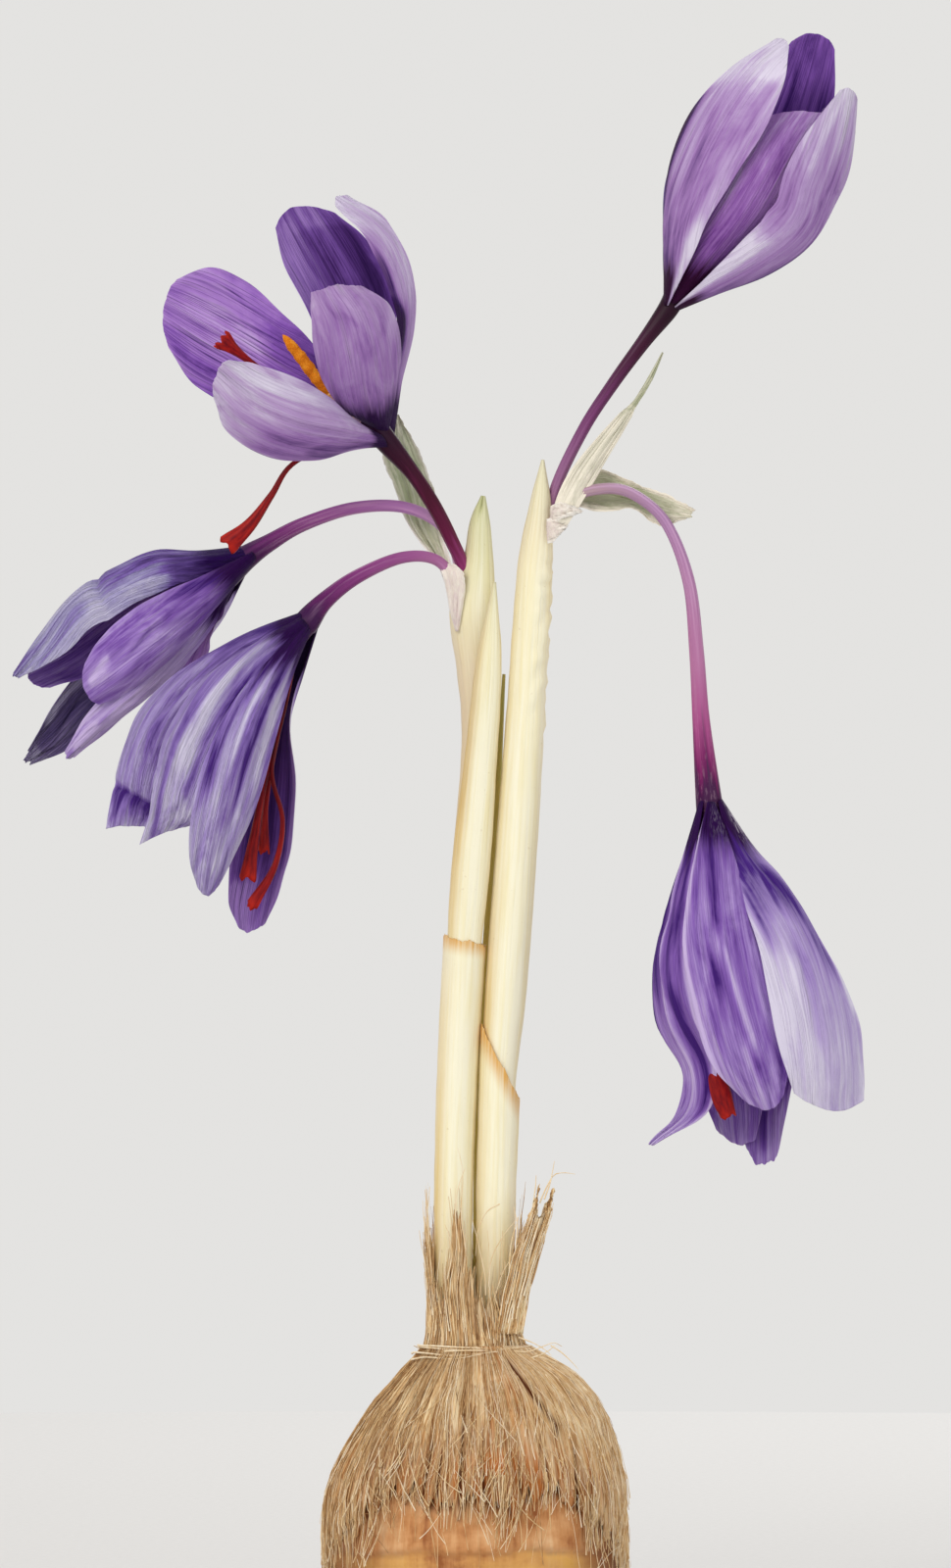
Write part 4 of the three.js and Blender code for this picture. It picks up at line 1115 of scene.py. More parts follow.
@dataclass
class Flower:
    """One flower: floral tube, style, stamens and six tepals."""

    number: int
    tube: Line
    tube_finish: Finish
    axis: tuple[Point, Point]
    stigmas: Sequence[Stigma]
    stamens: Sequence[Line]
    tepals: Sequence[Tepal]
    funnel: float = 5.0  # how far the tube opens into the flower, mm
    mouth: float = 0.3  # how much wider it is there, mm
    speckled: float = 0.0  # how strongly its end is speckled

    def name(self, part: str) -> str:
        """Name of a part of this flower."""
        return f"flower_{self.number}_{part}"

    def build_tube(self) -> None:
        """Makes the floral tube, ribbed lightly, which opens in a funnel inside the claws."""
        throat = np.array(self.axis[0])
        way = unit(np.array(self.axis[1]) - throat)
        radius = self.tube[-1][3]
        funnel = [(*(throat + way * self.funnel * at), radius + self.mouth * at) for at in (0.5, 1.0)]
        along, turn = rings(np.linspace(0, 1, 100), 24)
        ribs = 0.035 * np.cos(6 * turn + 3 * along) + 0.02 * np.cos(13 * turn - 5 * along)
        points = sweep([*self.tube, *funnel])(along, turn, ribs)
        shape = Shape("along", "fade", "fleck")
        fade = 1 - 0.9 * np.clip((along - 0.55) / 0.19, 0, 1)  # its pale streaks end below the flower
        fleck = self.speckled * ease(along, 0.6, 0.9)
        shape.rod(points, girdle(turn, along, self.number), along=along, fade=fade, fleck=fleck)
        piece = shape.mesh(self.name("tube_skin"), self.tube_finish.material())
        keep(piece, Slot.TUBE, self.name("perianth_tube"))

    def build_style(self, finish: Material) -> None:
        """Makes the three stigmas.

        Args:
            finish: their material.
        """
        shape = Shape("tone")
        for i, stigma in enumerate(self.stigmas):
            stigma.build(shape, self.number * 3 + i)
        keep(shape.mesh(self.name("stigmas"), finish), Slot.STIGMA, self.name("style"))

    def build_stamens(self, thread: Material, pollen: Material, grains: GrainTree) -> None:
        """Makes the filaments, and the anthers with their two pollen sacs under loose grains.

        Args:
            thread: the filaments' material.
            pollen: the anthers' material.
            grains: tree that scatters the grains.
        """
        threads, sacs = Shape("tone"), Shape("tone")
        for i, stations in enumerate(self.stamens):
            place = sweep(stations)
            along, turn = rings(np.linspace(0, FILAMENT_TIP, 14), 16)
            threads.rod(place(along, turn), girdle(turn, along, i), tone=along / FILAMENT_TIP)
            along, turn = rings(np.linspace(ANTHER_FOOT, 1, 40), 24)
            end = (along - ANTHER_FOOT) / (1 - ANTHER_FOOT)
            round_off = np.sqrt(np.clip(np.minimum(end / 0.1, (1 - end) / 0.12), 0.02, 1))
            swell = 0.04 * np.sin(40 * end) - 0.2 * np.abs(np.cos(turn)) ** 6 - 0.7 * (1 - round_off)
            sacs.rod(place(along, turn, swell), girdle(turn, along, i))
        keep(threads.mesh(self.name("filaments"), thread), Slot.ANTHER)
        body = sacs.mesh(self.name("anther_sacs"), pollen)
        base = body.data
        bpy.data.objects.remove(body)
        piece = grains.grow(self.name("anthers"), base, Radius=GRAIN_RADIUS * MM, Density=GRAIN_DENSITY,
                            Seed=self.number, Finish=pollen)
        keep(piece, Slot.ANTHER, self.name("stamens"))

    def build_tepals(self, finishes: dict[Tissue, Material]) -> None:
        """Makes the six tepals, each bellied away from the flower's axis.

        Args:
            finishes: the material of each tissue.
        """
        throat, mouth = (np.array(p) for p in self.axis)
        way = unit(mouth - throat)
        for i, tepal in enumerate(self.tepals):
            middle = (np.array(tepal.blade.first[2]) + np.array(tepal.blade.second[2])) / 2
            outside = middle - throat - way * ((middle - throat) @ way)
            shape = Shape("tone", "veining", "flush", "fleck")
            for k, blade in enumerate((tepal.blade, tepal.lobe)):
                if blade:
                    marks = partial(tepal.marks, paler=k * tepal.lobe_tone)
                    blade.build(shape, outside, self.number * 10 + i + 100 * k, marks)
            whorl, number = tepal.place.split("_")
            faces = finishes[tepal.outer], finishes[tepal.inner]
            piece = shape.mesh(self.name(f"{whorl}_petal_{number}"), *faces)
            keep(piece, Slot.TEPAL, self.name(f"{whorl}_tepal_{number}"))


# ---------- Shoots and bracts ----------


@dataclass(frozen=True)
class Sheath:
    """Sheath leaf rolled round a shoot. Its zones of colour are (height, strength) pairs, in mm and 0..1."""

    node: str
    stations: Line
    green: Pairs = ((0, 0), (1, 0))
    shade: Pairs = ((0, 0), (1, 0))
    blush: Pairs = ((0, 0), (1, 0))
    torn: float = 0.0  # depth of the dried torn edge at its top
    slant: float = 0.0
    slit: float = 0.0  # depth of the slit that opens at its tip
    shade_turn: float = math.pi  # turn of the side that is yellower with painted shade
    wrinkled: tuple[float, float] = (0, 1)  # heights between which its right side is wrinkled, mm

    def build(self, finish: Material) -> None:
        """Makes the sheath with fine ribs. A torn one turns back inside at its top, others have a tip.

        Args:
            finish: its material.
        """
        steps = 1 - (1 - np.linspace(0, 1, 130)) ** 1.2
        inset = np.zeros(len(steps))
        if self.torn:
            steps = np.concatenate([steps, [0.995, 0.97, 0.94]])
            inset = np.concatenate([inset, [0.22, 0.35, 0.8]])
        along, turn = rings(steps, 56)
        height = spline([s[:3] for s in self.stations], along)[..., 2]
        swell = 0.022 * np.cos(17 * turn + 2.0) + 0.016 * np.cos(29 * turn + 0.6 * height)
        swell = swell + 0.03 * np.sin(0.9 * height + 2 * turn) * np.sin(0.37 * height)
        creases = np.sin(4.3 * height + 3 * turn) + 0.8 * np.sin(7.1 * height - 5 * turn)
        creases = creases + np.sin(2.3 * height)
        low, high = self.wrinkled
        zone = ease(height, low, low + 5) * (1 - ease(height, high - 4, high))
        swell = swell + 0.13 * creases * zone * ease(np.cos(turn), -0.2, 0.5)
        swell = swell * np.minimum(run([s[3] for s in self.stations], along) / 1.2, 1)
        opened = bell(np.sin((turn + math.pi / 2) / 2), 0.0, 0.16)
        opened = opened * ease(along, 0.86, 0.95) * (1 - 0.5 * ease(along, 0.97, 1))
        points = sweep(self.stations, self.slant)(along, turn, swell - self.slit * opened - inset[:, None])
        tear = 0.15 * np.sin(4 * turn) + 0.12 * np.sin(9 * turn + 1) + 0.1 * np.sin(31 * turn)
        points[..., 2] += tear * ease(along, 0.93, 1.0) * bool(self.torn)
        top = self.stations[-1][2] + self.slant * np.cos(turn)
        dried = ease(points[..., 2], top - self.torn, top) if self.torn else 0.0
        side = ease(np.cos(turn - self.shade_turn), 0.2, 1.0)
        # Painted shade as a darker yellow along its sides and on the side at shade_turn, over the leaf's own
        # yellower margins; it is also yellower where it leaves the coat's neck.
        rim = 0.4 * np.abs(np.cos(turn)) ** 5 * ease(height, 37, 60)
        foot = (0.45 + 0.25 * np.cos(turn - math.pi)) * (1 - ease(height, 44, 62))
        shade = np.maximum(np.maximum(table(self.shade, height) * side, rim), foot)
        green = np.maximum(table(self.green, height), opened * bool(self.slit))
        shape = Shape("green", "shade", "blush", "torn")
        shape.rod(points, girdle(turn, height / 40, self.stations[0][0]), green=green, torn=dried,
                  shade=shade, blush=table(self.blush, height))
        keep(shape.mesh(self.node + "_skin", finish), Slot.SHEATH, self.node)


SHEATHS = (
    Sheath(
        "right_inner_sheath",
        ((2.4, 0, 37.3, 1.7), (2.6, 0, 60, 1.85), (3.1, 0, 74, 2.2), (4, 0, 86, 2.7),
         (5.4, 0, 105, 2.7, 2.6), (6.7, 0, 124, 2.5, 2.4), (7.7, 0, 140, 2.3, 2), (8.4, 0, 148, 1.6, 1.3),
         (8.8, 0.2, 155, 0.2)),
        shade=((60, 0.9), (85, 0.7), (100, 0.3), (125, 0.1), (150, 0.0)),
        green=((37, 0), (142, 0), (152, 0.25)), blush=((37, 0), (138, 0), (146, 0.25), (155, 0.1)),
        wrinkled=(117, 144)),
    Sheath(
        "left_front_sheath",
        ((-2.4, -1, 37.3, 1.4, 1), (-2.9, -1, 58, 1.6, 1.1), (-2.2, -1, 78, 1.9, 1.2),
         (-1.5, -1.2, 91, 2.2, 1.4), (-0.6, -1.3, 102, 2.5, 1.7), (0.7, -1.3, 116, 2.1, 1.6),
         (1.7, -1.2, 128, 1.7, 1.3), (2.5, -0.8, 139, 0.2)),
        shade=((80, 0.3), (93, 0.55), (110, 0.95), (128, 0.7), (139, 0.3)),
        green=((37, 0), (110, 0), (130, 0.08), (139, 0.25))),
    Sheath(
        "left_hooded_sheath",
        ((-2.4, 1.3, 37.3, 1.4, 0.9), (-2.9, 1.3, 58, 1.6, 0.9), (-1.9, 1.4, 80, 1.8, 1),
         (-0.9, 1.6, 100, 2.2, 1.2), (0.3, 1.8, 118, 2.1, 1.4), (0.1, 1.8, 128, 2.6, 1.6),
         (-0.3, 1.6, 135.5, 3.1, 1.9), (0.35, 1.5, 141.5, 2, 1.5), (0.6, 1.4, 147, 1.3, 1),
         (1, 1.2, 150.3, 0.3)),
        green=((110, 0.05), (128, 0.05), (138, 0.2), (146, 0.5), (150, 0.85)),
        shade=((90, 0.8), (125, 0.6), (135, 0.2)), blush=((110, 0.4), (126, 0.55), (134, 0.2), (140, 0)),
        slit=0.6),
    Sheath(
        "left_outer_sheath",
        ((-2.6, 0, 37.3, 2.3, 2.4), (-2.9, 0, 56, 2.5, 2.6), (-2.4, 0, 74, 2.65, 2.7),
         (-1.4, 0, 92.2, 2.8, 2.9)),
        torn=2.4, slant=-0.5, shade=((56, 0.7), (80, 0.5), (92, 0.2))),
    Sheath(
        "right_outer_sheath", ((2.6, 0, 37.3, 2.3, 2.3), (2.6, 0, 56, 2.55, 2.6), (3.2, 0, 76.4, 2.75, 2.8)),
        torn=4.4, slant=-4.9, shade=((50, 0.5), (70, 0.3), (80, 0.2))))


@dataclass
class Shoots:
    """The two shoots: rolled sheath leaves, short outer sheaths, and a young leaf between them."""

    sheaths: Sequence[Sheath] = SHEATHS
    leaf: Line = ((0.1, 2.6, 37.3, 0.5, 0.4), (0.2, 3, 60, 0.5, 0.4), (0.8, 3.2, 82, 0.5, 0.4),
                  (2.6, 3, 108, 0.5, 0.4), (3.7, 1.5, 127, 0.2))

    def build(self) -> None:
        """Makes every sheath and the young leaf."""
        skin = SHEATH_SKIN.material()
        for sheath in self.sheaths:
            sheath.build(skin)
        along, turn = rings(np.linspace(0, 1, 90), 16)
        shape = Shape("tone")
        points = sweep(self.leaf)(along, turn, 0.03 * np.cos(5 * turn))
        shape.rod(points, girdle(turn, along), tone=0.3 + 0.4 * along)
        keep(shape.mesh("young_leaf", YOUNG_LEAF.material()), Slot.LEAF, "leaf_tip")


@dataclass(frozen=True)
class Bract:
    """Papery bract or a shrivelled scrap of one. dryness is (way along, strength) pairs."""

    name: str
    blade: Blade
    outside: Point
    dryness: Pairs
    crisp: float = 0.5  # how much its margins have dried
    nodes: tuple[str, ...] = ()

    def marks(self, u: Array, v: Array, is_outer: bool) -> dict[str, Array]:
        """Mark of both its faces: how dry it is."""
        return {"dry": table(self.dryness, v) + self.crisp * np.abs(2 * u - 1) ** 5}

    def build(self, finish: Material, seed: int) -> None:
        """Makes the bract.

        Args:
            finish: its material.
            seed: seed of its small unevenness.
        """
        shape = Shape("dry")
        self.blade.build(shape, self.outside, seed, self.marks)
        keep(shape.mesh(self.name, finish, finish), Slot.BRACT, *self.nodes)


LEFT_BRACT = Bract(
    "left_bract_membrane", Blade(
        ((-3.4, 2.6, 137.4), (-5.4, 3.4, 142), (-8.9, 4.2, 146.6), (-10.9, 4.4, 151.8), (-12.2, 3.8, 155.7),
         (-10.8, 3, 160.4)),
        ((-2.4, 3.2, 139), (-3.8, 4.2, 143.6), (-4.9, 5, 148.3), (-5.6, 5, 152), (-7.5, 4.2, 156.8),
         (-9.9, 3, 160.8)),
        (0.2, 0.8, 1.2, 1.2, 0.6, 0), (Fold(0.35, 0.5, 0.12, 0.3, 0.5), Fold(0.7, 0.7, 0.1, 0.3, -0.4)),
        thickness=0.18, ruffle=0.45, fray=0.12, ribs=0.06, crumple=0.3),
    (0, 1, 0), ((0, 0.8), (0.2, 0.5), (0.45, 0.1), (0.8, 0.15), (1, 0.6)), 0.8, ("left_bract",))
RIGHT_BRACTS = (
    Bract("right_bract_spike_membrane", Blade(
        ((9.7, -1.9, 147), (11, -1.6, 151), (13.2, -1.2, 154.7), (18.1, -0.6, 160.4), (20.5, -0.4, 162.6),
         (22.4, -0.4, 165.6), (24.2, -0.4, 168.8)),
        ((12, -2.4, 146.4), (14.2, -2, 149.9), (16.2, -1.4, 153.4), (20.1, -0.7, 160), (21.2, -0.5, 162.2),
         (23, -0.4, 165.2), (24.5, -0.4, 168.8)),
        (0.2, 0.5, 0.6, 0.2, 0.1, 0), (Fold(0.5, 0.35, 0.2, 0.5, 0.25),),
        thickness=0.2, fray=0.1, ribs=0.05, cap=0.2),
        (0, -1, 0), ((0, 0.9), (0.25, 0.75), (0.5, 0.6), (0.7, 0.1), (1, 0.2)), 0.4,
        ("right_bract_spike",)),
    Bract("right_bract_wing_membrane", Blade(
        ((11.2, 1, 150), (13.5, 1.4, 152.4), (16.3, 1.8, 153.9), (20.3, 1.4, 152.2), (25, 0.4, 150.6),
         (28.5, -0.4, 148.5)),
        ((11.4, 0.6, 147.6), (13.5, 0.4, 148.7), (16.6, 0, 148.2), (20.6, -0.6, 148.3), (24.2, -1, 146.3),
         (27, -0.6, 147)),
        (0.1, 0.6, 0.8, 0.8, 0.4, 0), (Fold(0.08, 0.5, 0.06, 0.6, 0.35), Fold(0.3, 0.75, 0.1, 0.15, -0.3)),
        thickness=0.18, ruffle=0.35, fray=0.14, ribs=0.06, cap=0.4, ragged=0.2, crumple=0.25),
        (0, 1, 0), ((0, 0.7), (0.2, 0.15), (0.7, 0.0), (1, 0.6)), 1.0, ("right_bract_wing",)))
SCRAPS = (
    Bract("shoot_top_scrap_upper", Blade(
        ((9.8, -1.7, 148.9), (11, -2.3, 149.4), (12.3, -2.5, 149.2), (13.5, -2.2, 148.6)),
        ((9.8, -2, 146.9), (11, -2.6, 147.1), (12.4, -2.7, 147.4), (13.6, -2.3, 147.9)),
        (0.1, 0.4, 0.3, 0), thickness=0.18, ruffle=0.2, fray=0.2, ribs=0.06, crumple=0.4,
        columns=24, rows=24),
        (0, -1, 0), ((0, 0.4), (1, 0.9)), 0.7),
    Bract("shoot_top_scrap_lower", Blade(
        ((9.3, -1.9, 147.2), (10.3, -2.2, 147.4), (11.2, -2.3, 147), (11.7, -2.2, 146.4)),
        ((9.4, -1.9, 144), (10.1, -2.2, 144.2), (10.9, -2.3, 144.9), (11.5, -2.2, 145.8)),
        (0.1, 0.3, 0.2, 0), thickness=0.18, ruffle=0.2, fray=0.2, ribs=0.06, crumple=0.3,
        columns=24, rows=24),
        (0, -1, 0), ((0, 0.3), (1, 0.8)), 0.7),
    Bract("left_shoot_top_membrane", Blade(
        ((-2.6, 0.1, 132.6), (-3.3, -0.2, 135), (-3.9, -0.6, 138.2), (-4.5, -0.8, 140.4),
         (-4.5, -0.6, 141.6)),
        ((-2.2, 0, 132.6), (-1.8, -0.3, 135), (-1.3, -0.8, 138.2), (-1.5, -1.1, 140.2), (-2.4, -0.9, 141)),
        (0.1, 0.4, 0.4, 0.3, 0), thickness=0.18, ruffle=0.1, fray=0.1, ribs=0.03, crumple=0.1, cap=0.3,
        ragged=0.2, columns=28, rows=36),
        (0, -1, 0), ((0, 0.2), (1, 0.6)), 0.5))


@dataclass
class Bracts:
    """Papery bracts at the top of the shoots, and the scraps of membrane beside them."""

    left: Bract = LEFT_BRACT
    right: Sequence[Bract] = RIGHT_BRACTS
    scraps: Sequence[Bract] = SCRAPS

    def build(self) -> None:
        """Makes the bracts, fresh at the left and drier at the right, and the silvery scraps."""
        fresh = bract_skin("bract_membrane_pale_green", "adb694", "d4d4bc", "f6f3ea").material()
        dry = bract_skin("bract_membrane_dry_olive_tan", "a4a888", "d4d0bc", "f0e9d8").material()
        silver = bract_skin("bract_membrane_silver_pink", "dcc8c8", "eadfd4", "f8f4ec").material()
        self.left.build(fresh, 201)
        for i, bract in enumerate(self.right):
            bract.build(dry, 202 + i)
        for i, scrap in enumerate(self.scraps):
            scrap.build(silver, 204 + i)


# ---------- Corm and its coat ----------


NECK_FOOT = 37.3  # height where the neck starts, mm


@dataclass
class Corm:
    """Solid stem base on its flat basal face, ringed, under the torn coat."""

    profile: Line = ((10.5, 0), (14.6, 1.6), (17, 4.8), (18.3, 9), (18.8, 13.5), (18.5, 18), (17.4, 22.5),
                     (15, 27), (11.6, 31), (7.6, 34.4), (4, 36.5))
    ring_height: float = 13.3

    def build(self) -> None:
        """Makes the corm with ring ridges and soft dents, with painted shade under the coat's torn edge and
        on both sides.
        """
        along, turn = rings(np.linspace(0, 1, 90), 160)
        radius, height = spline(self.profile, along).transpose(2, 0, 1)
        sway = height + 0.35 * np.sin(2 * turn + 1) + 0.25 * np.sin(7 * turn) + 0.15 * np.sin(17 * turn)
        sway = sway - self.ring_height
        ridge = 0.22 * bell(sway, 0.3, 0.45) - 0.16 * bell(sway, -0.4, 0.4) + 0.12 * bell(sway, -6.8, 0.35)
        dents = 0.12 * np.sin(5 * turn + 0.3 * height) + 0.08 * np.sin(11 * turn - 0.5 * height)
        dents = dents + 0.05 * np.sin(0.9 * height + 3 * turn) + 0.03 * np.cos(67 * turn)
        radius = radius + (ridge + dents) * ease(height, 0.3, 2.5)
        points = around(radius, turn, height)
        # Painted shade: darker just under the coat's torn edge, and down both sides of the corm.
        under = 1 - ease(Tunic.torn_edge(turn) - height, -0.6, 1.2)
        side = 0.75 * ease(np.cos(turn), 0.6, 0.95) + 0.55 * ease(-np.cos(turn), 0.45, 0.95)
        gold = 0.8 * (1 - ease(sway, -0.9, 0.1))
        gold = gold + 0.7 * bell(turn, -0.62 * math.pi, 0.1) * bell(height, 18, 2.5)
        ring = 0.45 * bell(sway, -0.3, 0.4) + 0.4 * bell(sway, -7.2, 0.3)
        shade = np.clip(0.85 * under + side, 0, 1)
        shape = Shape("shade", "ring", "gold")
        shape.rod(points, girdle(turn, along), shade=shade, ring=ring, gold=gold)
        keep(shape.mesh("corm_body", CORM_FLESH.material()), Slot.CORM, "corm")


@dataclass(frozen=True)
class Slit:
    """Gap between the coat's fibres in front, from a lower to an upper (x, z) place."""

    low: Point
    high: Point
    width: float

    def share(self, x: Array, z: Array) -> Array:
        """Finds how open the slit is.

        Args:
            x: places across, mm.
            z: heights, mm.

        Returns:
            Share of the gap at each place, 0..1.
        """
        t = (z - self.low[1]) / (self.high[1] - self.low[1])
        middle = self.low[0] + (self.high[0] - self.low[0]) * np.clip(t, 0, 1)
        width = self.width * (1.15 - 0.8 * np.clip(t, 0, 1))
        return bell(x, middle, width) * ease(t, -0.25, 0.0) * (1 - ease(t, 0.8, 1.1))


@dataclass
class Strands:
    """Guide lines of fibres with the girth and tone of each, gathered before they are grown."""

    lines: list[Array] = field(default_factory=list)
    girths: list[Array] = field(default_factory=list)
    tones: list[float] = field(default_factory=list)

    def add(self, line: Array, girth: float, tone: float, foot: float = 1.0, tip: float = 0.35) -> None:
        """Adds a fibre.

        Args:
            line: its guide line, mm.
            girth: its radius, mm.
            tone: how pale it is, 0..1.
            foot: share of the girth at its foot.
            tip: share of the girth at its tip.
        """
        self.lines.append(line)
        self.girths.append(girth * np.linspace(foot, tip, len(line)))
        self.tones.append(float(np.clip(tone, 0, 1)))

    def grow(self, tree: StrandTree, name: str, finish: Material, nodes: Sequence[str] = (),
             **values: float) -> None:
        """Grows the fibres in one piece.

        Args:
            tree: the tree that grows them.
            name: the piece's name.
            finish: the fibres' material.
            nodes: CAD nodes that the piece stands for.
            values: the tree's other inputs.
        """
        base = bpy.data.meshes.new(name + "_guides")
        edges, start = [], 0
        for line in self.lines:
            edges += [(start + i, start + i + 1) for i in range(len(line) - 1)]
            start += len(line)
        base.from_pydata((np.vstack(self.lines) * MM).tolist(), edges, [])
        tone = np.concatenate([np.full(len(line), t) for line, t in zip(self.lines, self.tones)])
        for mark, at in (("girth", np.concatenate(self.girths) * MM), ("tone", tone)):
            base.attributes.new(mark, "FLOAT", "POINT").data.foreach_set("value", at.astype(np.float32))
        keep(tree.grow(name, base, Finish=finish, **values), Slot.FIBRE, *nodes)


# Strands wound round the foot of the neck: turns in degrees, heights, radius and girth in mm.
WINDS = (
    (-205, -20, 38.9, 39.3, 7.2, 0.16), (-190, -70, 38.2, 38.7, 7.9, 0.15),
    (-170, 60, 39.4, 38.7, 7.15, 0.13), (-120, 10, 38.9, 38.5, 7.6, 0.12),
    (20, 200, 39.1, 38.8, 7.3, 0.15), (60, 190, 38.5, 39.2, 7.6, 0.13),
    (-160, -85, 37.6, 38.4, 8.4, 0.12))
# Loose loops of them at the right of the neck.
LOOPS = (
    ((4.2, -5.6, 38.9), (6.6, -4.9, 38.7), (8.6, -4.2, 39.3), (10.2, -3.6, 39.8), (11.3, -3.0, 39.3)),
    ((7.2, -5.4, 37.9), (8.4, -5.0, 38.3), (9.6, -4.4, 38.9), (10.5, -3.8, 39.6)),
    ((9.8, -4.2, 39.5), (11.2, -4.0, 38.6), (12.6, -4.4, 37.3), (13.4, -4.2, 36.4)),
    ((5.6, -5.0, 40.6), (7.4, -4.6, 39.9), (9.0, -4.2, 39.0), (9.9, -4.6, 38.2)))
# Torn flap at the right of the neck, and the tips of its strands.
FLAP = Blade(
    ((2.6, -5, 41), (3.6, -5, 46), (4.8, -4.7, 51), (6.4, -4.2, 55.6), (7.9, -3.6, 59.6)),
    ((6.2, -3, 41), (6.8, -2.8, 46), (8.3, -2.4, 51.6), (10, -2, 56.6), (10.6, -1.6, 61)),
    (0.1, 0.4, 0.6, 0.5, 0.2), cap=-3.4, ragged=0.7, thickness=0.3, ruffle=0.25, fray=0.4, ribs=0.08)
FLAP_TIPS = (
    ((8.4, -3, 58), (9.2, -2.4, 60), (10.2, -1.8, 61.6), (11.6, -1.4, 61.9), (13, -1.2, 61.7)),
    ((9, -2.8, 58.5), (9.8, -2.2, 61), (10.3, -1.8, 63.4)),
    ((7.4, -3.4, 57), (7.8, -3.2, 60), (7.9, -3, 61.6)),
    ((5.2, -4.2, 51), (5.4, -4.4, 55), (5.0, -4.2, 57.6)),
    ((6, -3.6, 52), (6.6, -3.6, 54.6), (8.0, -3.2, 55.2)),
    ((4.4, -4.8, 49), (4.7, -4.6, 53), (5.6, -4.4, 56.4)))
# Long tips at the neck's left, and hairs over the shoots.
HAIRS = (
    ((-6, -1.5, 46), (-6.2, -1.8, 52), (-6.9, -1.6, 56), (-7, -1.4, 58.4)),
    ((-5.8, -2, 47), (-6.1, -2.4, 53), (-6.4, -2.2, 57), (-6.1, -2, 60.2)),
    ((-6.2, -1, 46), (-6.7, -1.2, 50), (-7.2, -1, 53), (-7.4, -0.8, 54.6)),
    ((-1.2, -4.4, 52), (-1.8, -4.3, 57), (-2.0, -4.2, 61), (-2.3, -4.0, 65.2)),
    ((-2.0, -4.4, 52), (-2.6, -4.3, 57), (-2.4, -4.2, 60.5), (-1.7, -4.0, 62.6)),
    ((1.8, -4.4, 47), (2.4, -4.6, 51), (3.8, -4.6, 54), (5.4, -4.2, 56.2)),
    ((1.4, -4.6, 46), (1.2, -4.8, 49.5), (0.4, -4.8, 53), (-0.2, -4.4, 56)),
    ((-3.6, -4.2, 48), (-3.0, -4.4, 51), (-3.4, -4.4, 54), (-4.0, -4.0, 55.5)),
    ((2.6, -4.4, 45.5), (3.8, -4.6, 49), (5.0, -4.4, 51.5), (5.6, -4.0, 53)),
    ((3.2, -4.8, 58), (1.6, -4.6, 56.8), (0.4, -4.2, 54), (0.2, -4.0, 51)))


